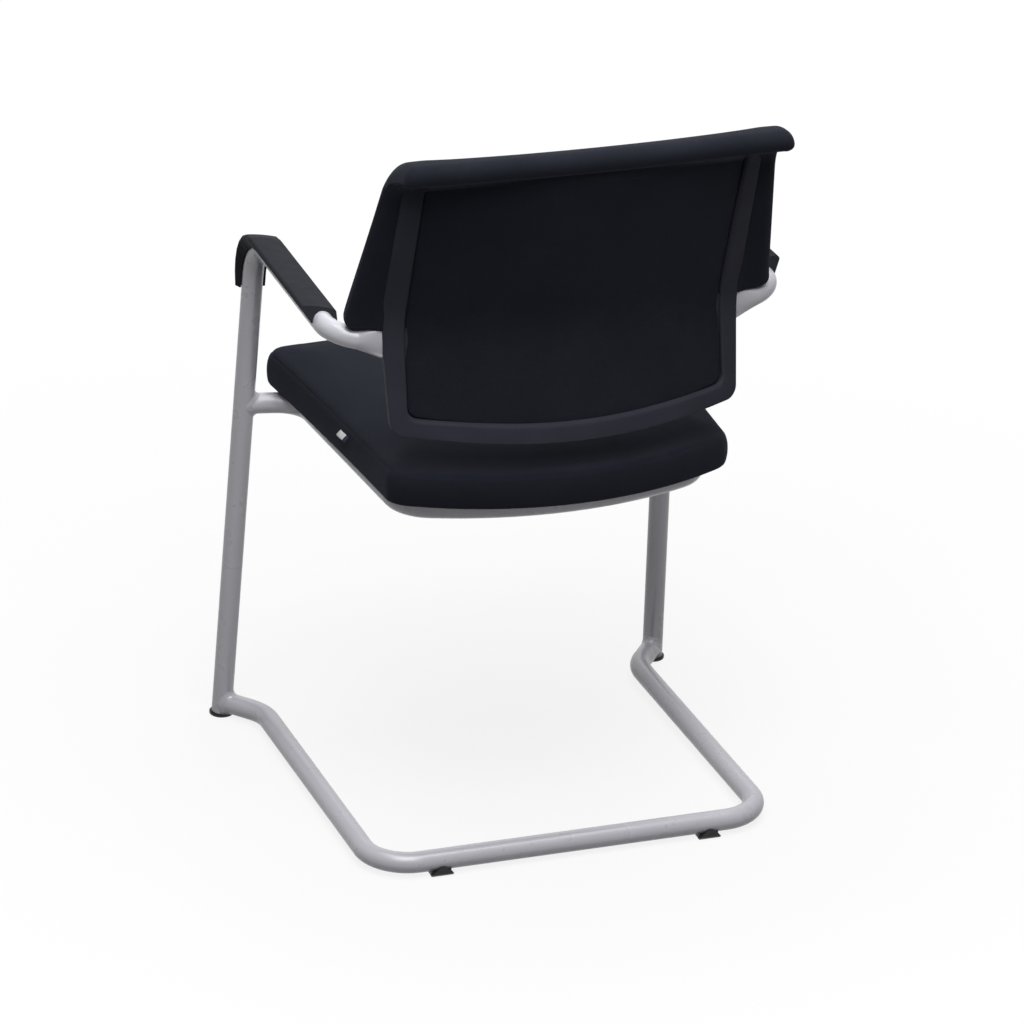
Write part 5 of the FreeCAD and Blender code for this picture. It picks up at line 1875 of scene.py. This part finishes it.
# ---------------------------------------------------------------------------- studio
@dataclass(frozen=True)
class Softbox:
    """One square area lamp: where it hangs, what it looks at, its size and radiance."""

    name: str
    place: Point
    aim: Point
    width: float
    radiance: float

    def build(self) -> None:
        """Hangs the lamp. Its power is pi times its area times its radiance."""
        data = bpy.data.lights.new(self.name, "AREA")
        data.shape = "SQUARE"
        data.size = self.width
        data.energy = math.pi * self.width**2 * self.radiance
        lamp = bpy.data.objects.new(self.name, data)
        place, aim = np.array(self.place), np.array(self.aim)
        back = (place - aim) / np.linalg.norm(place - aim)
        guide = np.array([0.0, 1.0, 0.0]) if abs(back[2]) > 0.9 else np.array([0.0, 0.0, 1.0])
        right = np.cross(guide, back)
        right /= np.linalg.norm(right)
        turned = np.column_stack([right, np.cross(back, right), back])
        lamp.matrix_world = Matrix.Translation(self.place) @ Matrix(turned.tolist()).to_4x4()
        bpy.context.scene.collection.objects.link(lamp)


@dataclass
class Studio:
    """White room: a pale floor that keeps the shadow, soft lamps and an even sky."""

    ambient: float = 0.06
    floor_colour: float = 0.18
    shadow_share: float = 0.13
    lamp_share: float = 1.19
    lamp_height: float = 2.6
    floor_radius: float = 40.0
    floor_sides: int = 96
    floor_white: float = 1.01
    lamps: tuple[Softbox, ...] = (
        Softbox("overhead", (0.0, 0.2, 2.6), (0.0, 0.2, 0.0), 2.0, 3.4),
        Softbox("rear", (0.7, 1.8, 3.1), (0.0, 0.1, 0.4), 2.0, 5.0),
        Softbox("front", (-0.8, -2.4, 2.7), (0.0, 0.0, 0.4), 1.6, 1.5),
    )

    def build(self) -> None:
        """Makes floor, sky and lamps."""
        self.floor()
        self.sky()
        for lamp in self.lamps:
            lamp.build()
        bpy.context.scene.view_settings.view_transform = "Standard"

    def seen(self, tree: bpy.types.NodeTree) -> Socket:
        """Marks with 1 what the camera sees, directly, mirrored or through glass.

        Args:
            tree: the nodes of the floor or the sky.
        Returns:
            The larger of the three kinds of ray's marks.
        """
        path = tree.nodes.new("ShaderNodeLightPath").outputs
        shown = path["Is Camera Ray"]
        for ray in ("Is Glossy Ray", "Is Transmission Ray"):
            either = tree.nodes.new("ShaderNodeMath")
            either.operation = "MAXIMUM"
            tree.links.new(shown, either.inputs[0])
            tree.links.new(path[ray], either.inputs[1])
            shown = either.outputs[0]
        return shown

    def floor(self) -> None:
        """Large disc; to the camera it glows towards white and keeps part of the shadow."""
        turns = np.linspace(0.0, math.tau, self.floor_sides + 1)[:-1]
        points = np.column_stack([np.cos(turns), np.sin(turns), np.zeros_like(turns)])
        mesh = bpy.data.meshes.new("floor")
        points *= self.floor_radius
        mesh.from_pydata(points.tolist(), [], [list(range(self.floor_sides))])
        floor = bpy.data.objects.new("floor", mesh)
        bpy.context.scene.collection.objects.link(floor)
        graph = Graph("studio_floor")
        pale = (self.floor_colour,) * 3 + (1.0,)
        plain = graph.node("ShaderNodeBsdfDiffuse", {"Color": pale})
        kept = graph.node("ShaderNodeBsdfDiffuse", {"Color": (self.shadow_share,) * 3 + (1.0,)})
        glow = graph.node("ShaderNodeEmission", {"Strength": self.glow(graph)})
        shown = graph.node("ShaderNodeAddShader", {0: kept.outputs[0], 1: glow.outputs[0]})
        both = graph.node(
            "ShaderNodeMixShader",
            {0: self.seen(graph.tree), 1: plain.outputs[0], 2: shown.outputs[0]},
        )
        output = next(n for n in graph.tree.nodes if n.type == "OUTPUT_MATERIAL")
        graph.tree.links.new(both.outputs[0], output.inputs["Surface"])
        graph.tree.nodes.remove(graph.shader)
        mesh.materials.append(graph.material)

    def glow(self, graph: Graph) -> Socket:
        """What the floor lacks to white: white less its share of ambient and lamp light.

        The lamp light falls off as (h^2 / (h^2 + r^2))^2, h being the lamp's height and r
        the distance on the floor.

        Args:
            graph: the floor's material.
        Returns:
            Strength of the glow.
        """
        where = graph.node("ShaderNodeVectorMath", {0: graph.place()}, operation="LENGTH")
        far = graph.math("DIVIDE", where.outputs["Value"], self.lamp_height)
        spread = graph.math("ADD", graph.math("MULTIPLY", far, far), 1.0)
        fall = graph.math("DIVIDE", 1.0, graph.math("MULTIPLY", spread, spread))
        lit = graph.math("MULTIPLY", fall, self.shadow_share * self.lamp_share)
        even = self.floor_white - self.shadow_share * self.ambient
        return graph.math("SUBTRACT", even, lit)

    def sky(self) -> None:
        """Even sky: white to the camera, softer as light on the chair."""
        world = bpy.data.worlds.new("studio_sky")
        world.use_nodes = True
        tree = world.node_tree
        tree.nodes.clear()
        backs = []
        for strength in (self.ambient, 1.0):
            back = tree.nodes.new("ShaderNodeBackground")
            back.inputs["Color"].default_value = (1.0, 1.0, 1.0, 1.0)
            back.inputs["Strength"].default_value = strength
            backs.append(back)
        mix = tree.nodes.new("ShaderNodeMixShader")
        tree.links.new(self.seen(tree), mix.inputs[0])
        tree.links.new(backs[0].outputs[0], mix.inputs[1])
        tree.links.new(backs[1].outputs[0], mix.inputs[2])
        output = tree.nodes.new("ShaderNodeOutputWorld")
        tree.links.new(mix.outputs[0], output.inputs["Surface"])
        bpy.context.scene.world = world


@dataclass(frozen=True)
class ViewPoint:
    """Camera behind the chair's left shoulder, far off, looking a little down."""

    place: Point = (2.322576, 6.174197, 3.245551)
    right: Point = (-0.9400115, 0.3399336, 0.0286972)
    up: Point = (-0.1126941, -0.3888238, 0.9143938)
    ahead: Point = (-0.3219913, -0.8563067, -0.4038074)
    lens: float = 215.309
    sensor: float = 36.0

    def build(self) -> None:
        """Makes the camera and sets it as the scene's."""
        data = bpy.data.cameras.new("view")
        data.sensor_width = self.sensor
        data.sensor_fit = "HORIZONTAL"
        data.lens = self.lens
        data.clip_end = 100.0
        camera = bpy.data.objects.new("view", data)
        axes = np.column_stack([self.right, self.up, -np.array(self.ahead)])
        camera.matrix_world = Matrix.Translation(self.place) @ Matrix(axes.tolist()).to_4x4()
        bpy.context.scene.collection.objects.link(camera)
        bpy.context.scene.camera = camera


def main() -> None:
    logging.basicConfig(level=logging.INFO, format="%(name)s: %(message)s")
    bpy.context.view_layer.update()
    ViewPoint().build()
    Studio().build()
    finishes = Finishes()
    CarriedParts(finishes).build()
    for maker in (SeatCushion, SeatTag, BackCushion, RearPanel, BackFrame, ArmSockets, Welds):
        maker(finishes).build()


if __name__ == "__main__":
    main()
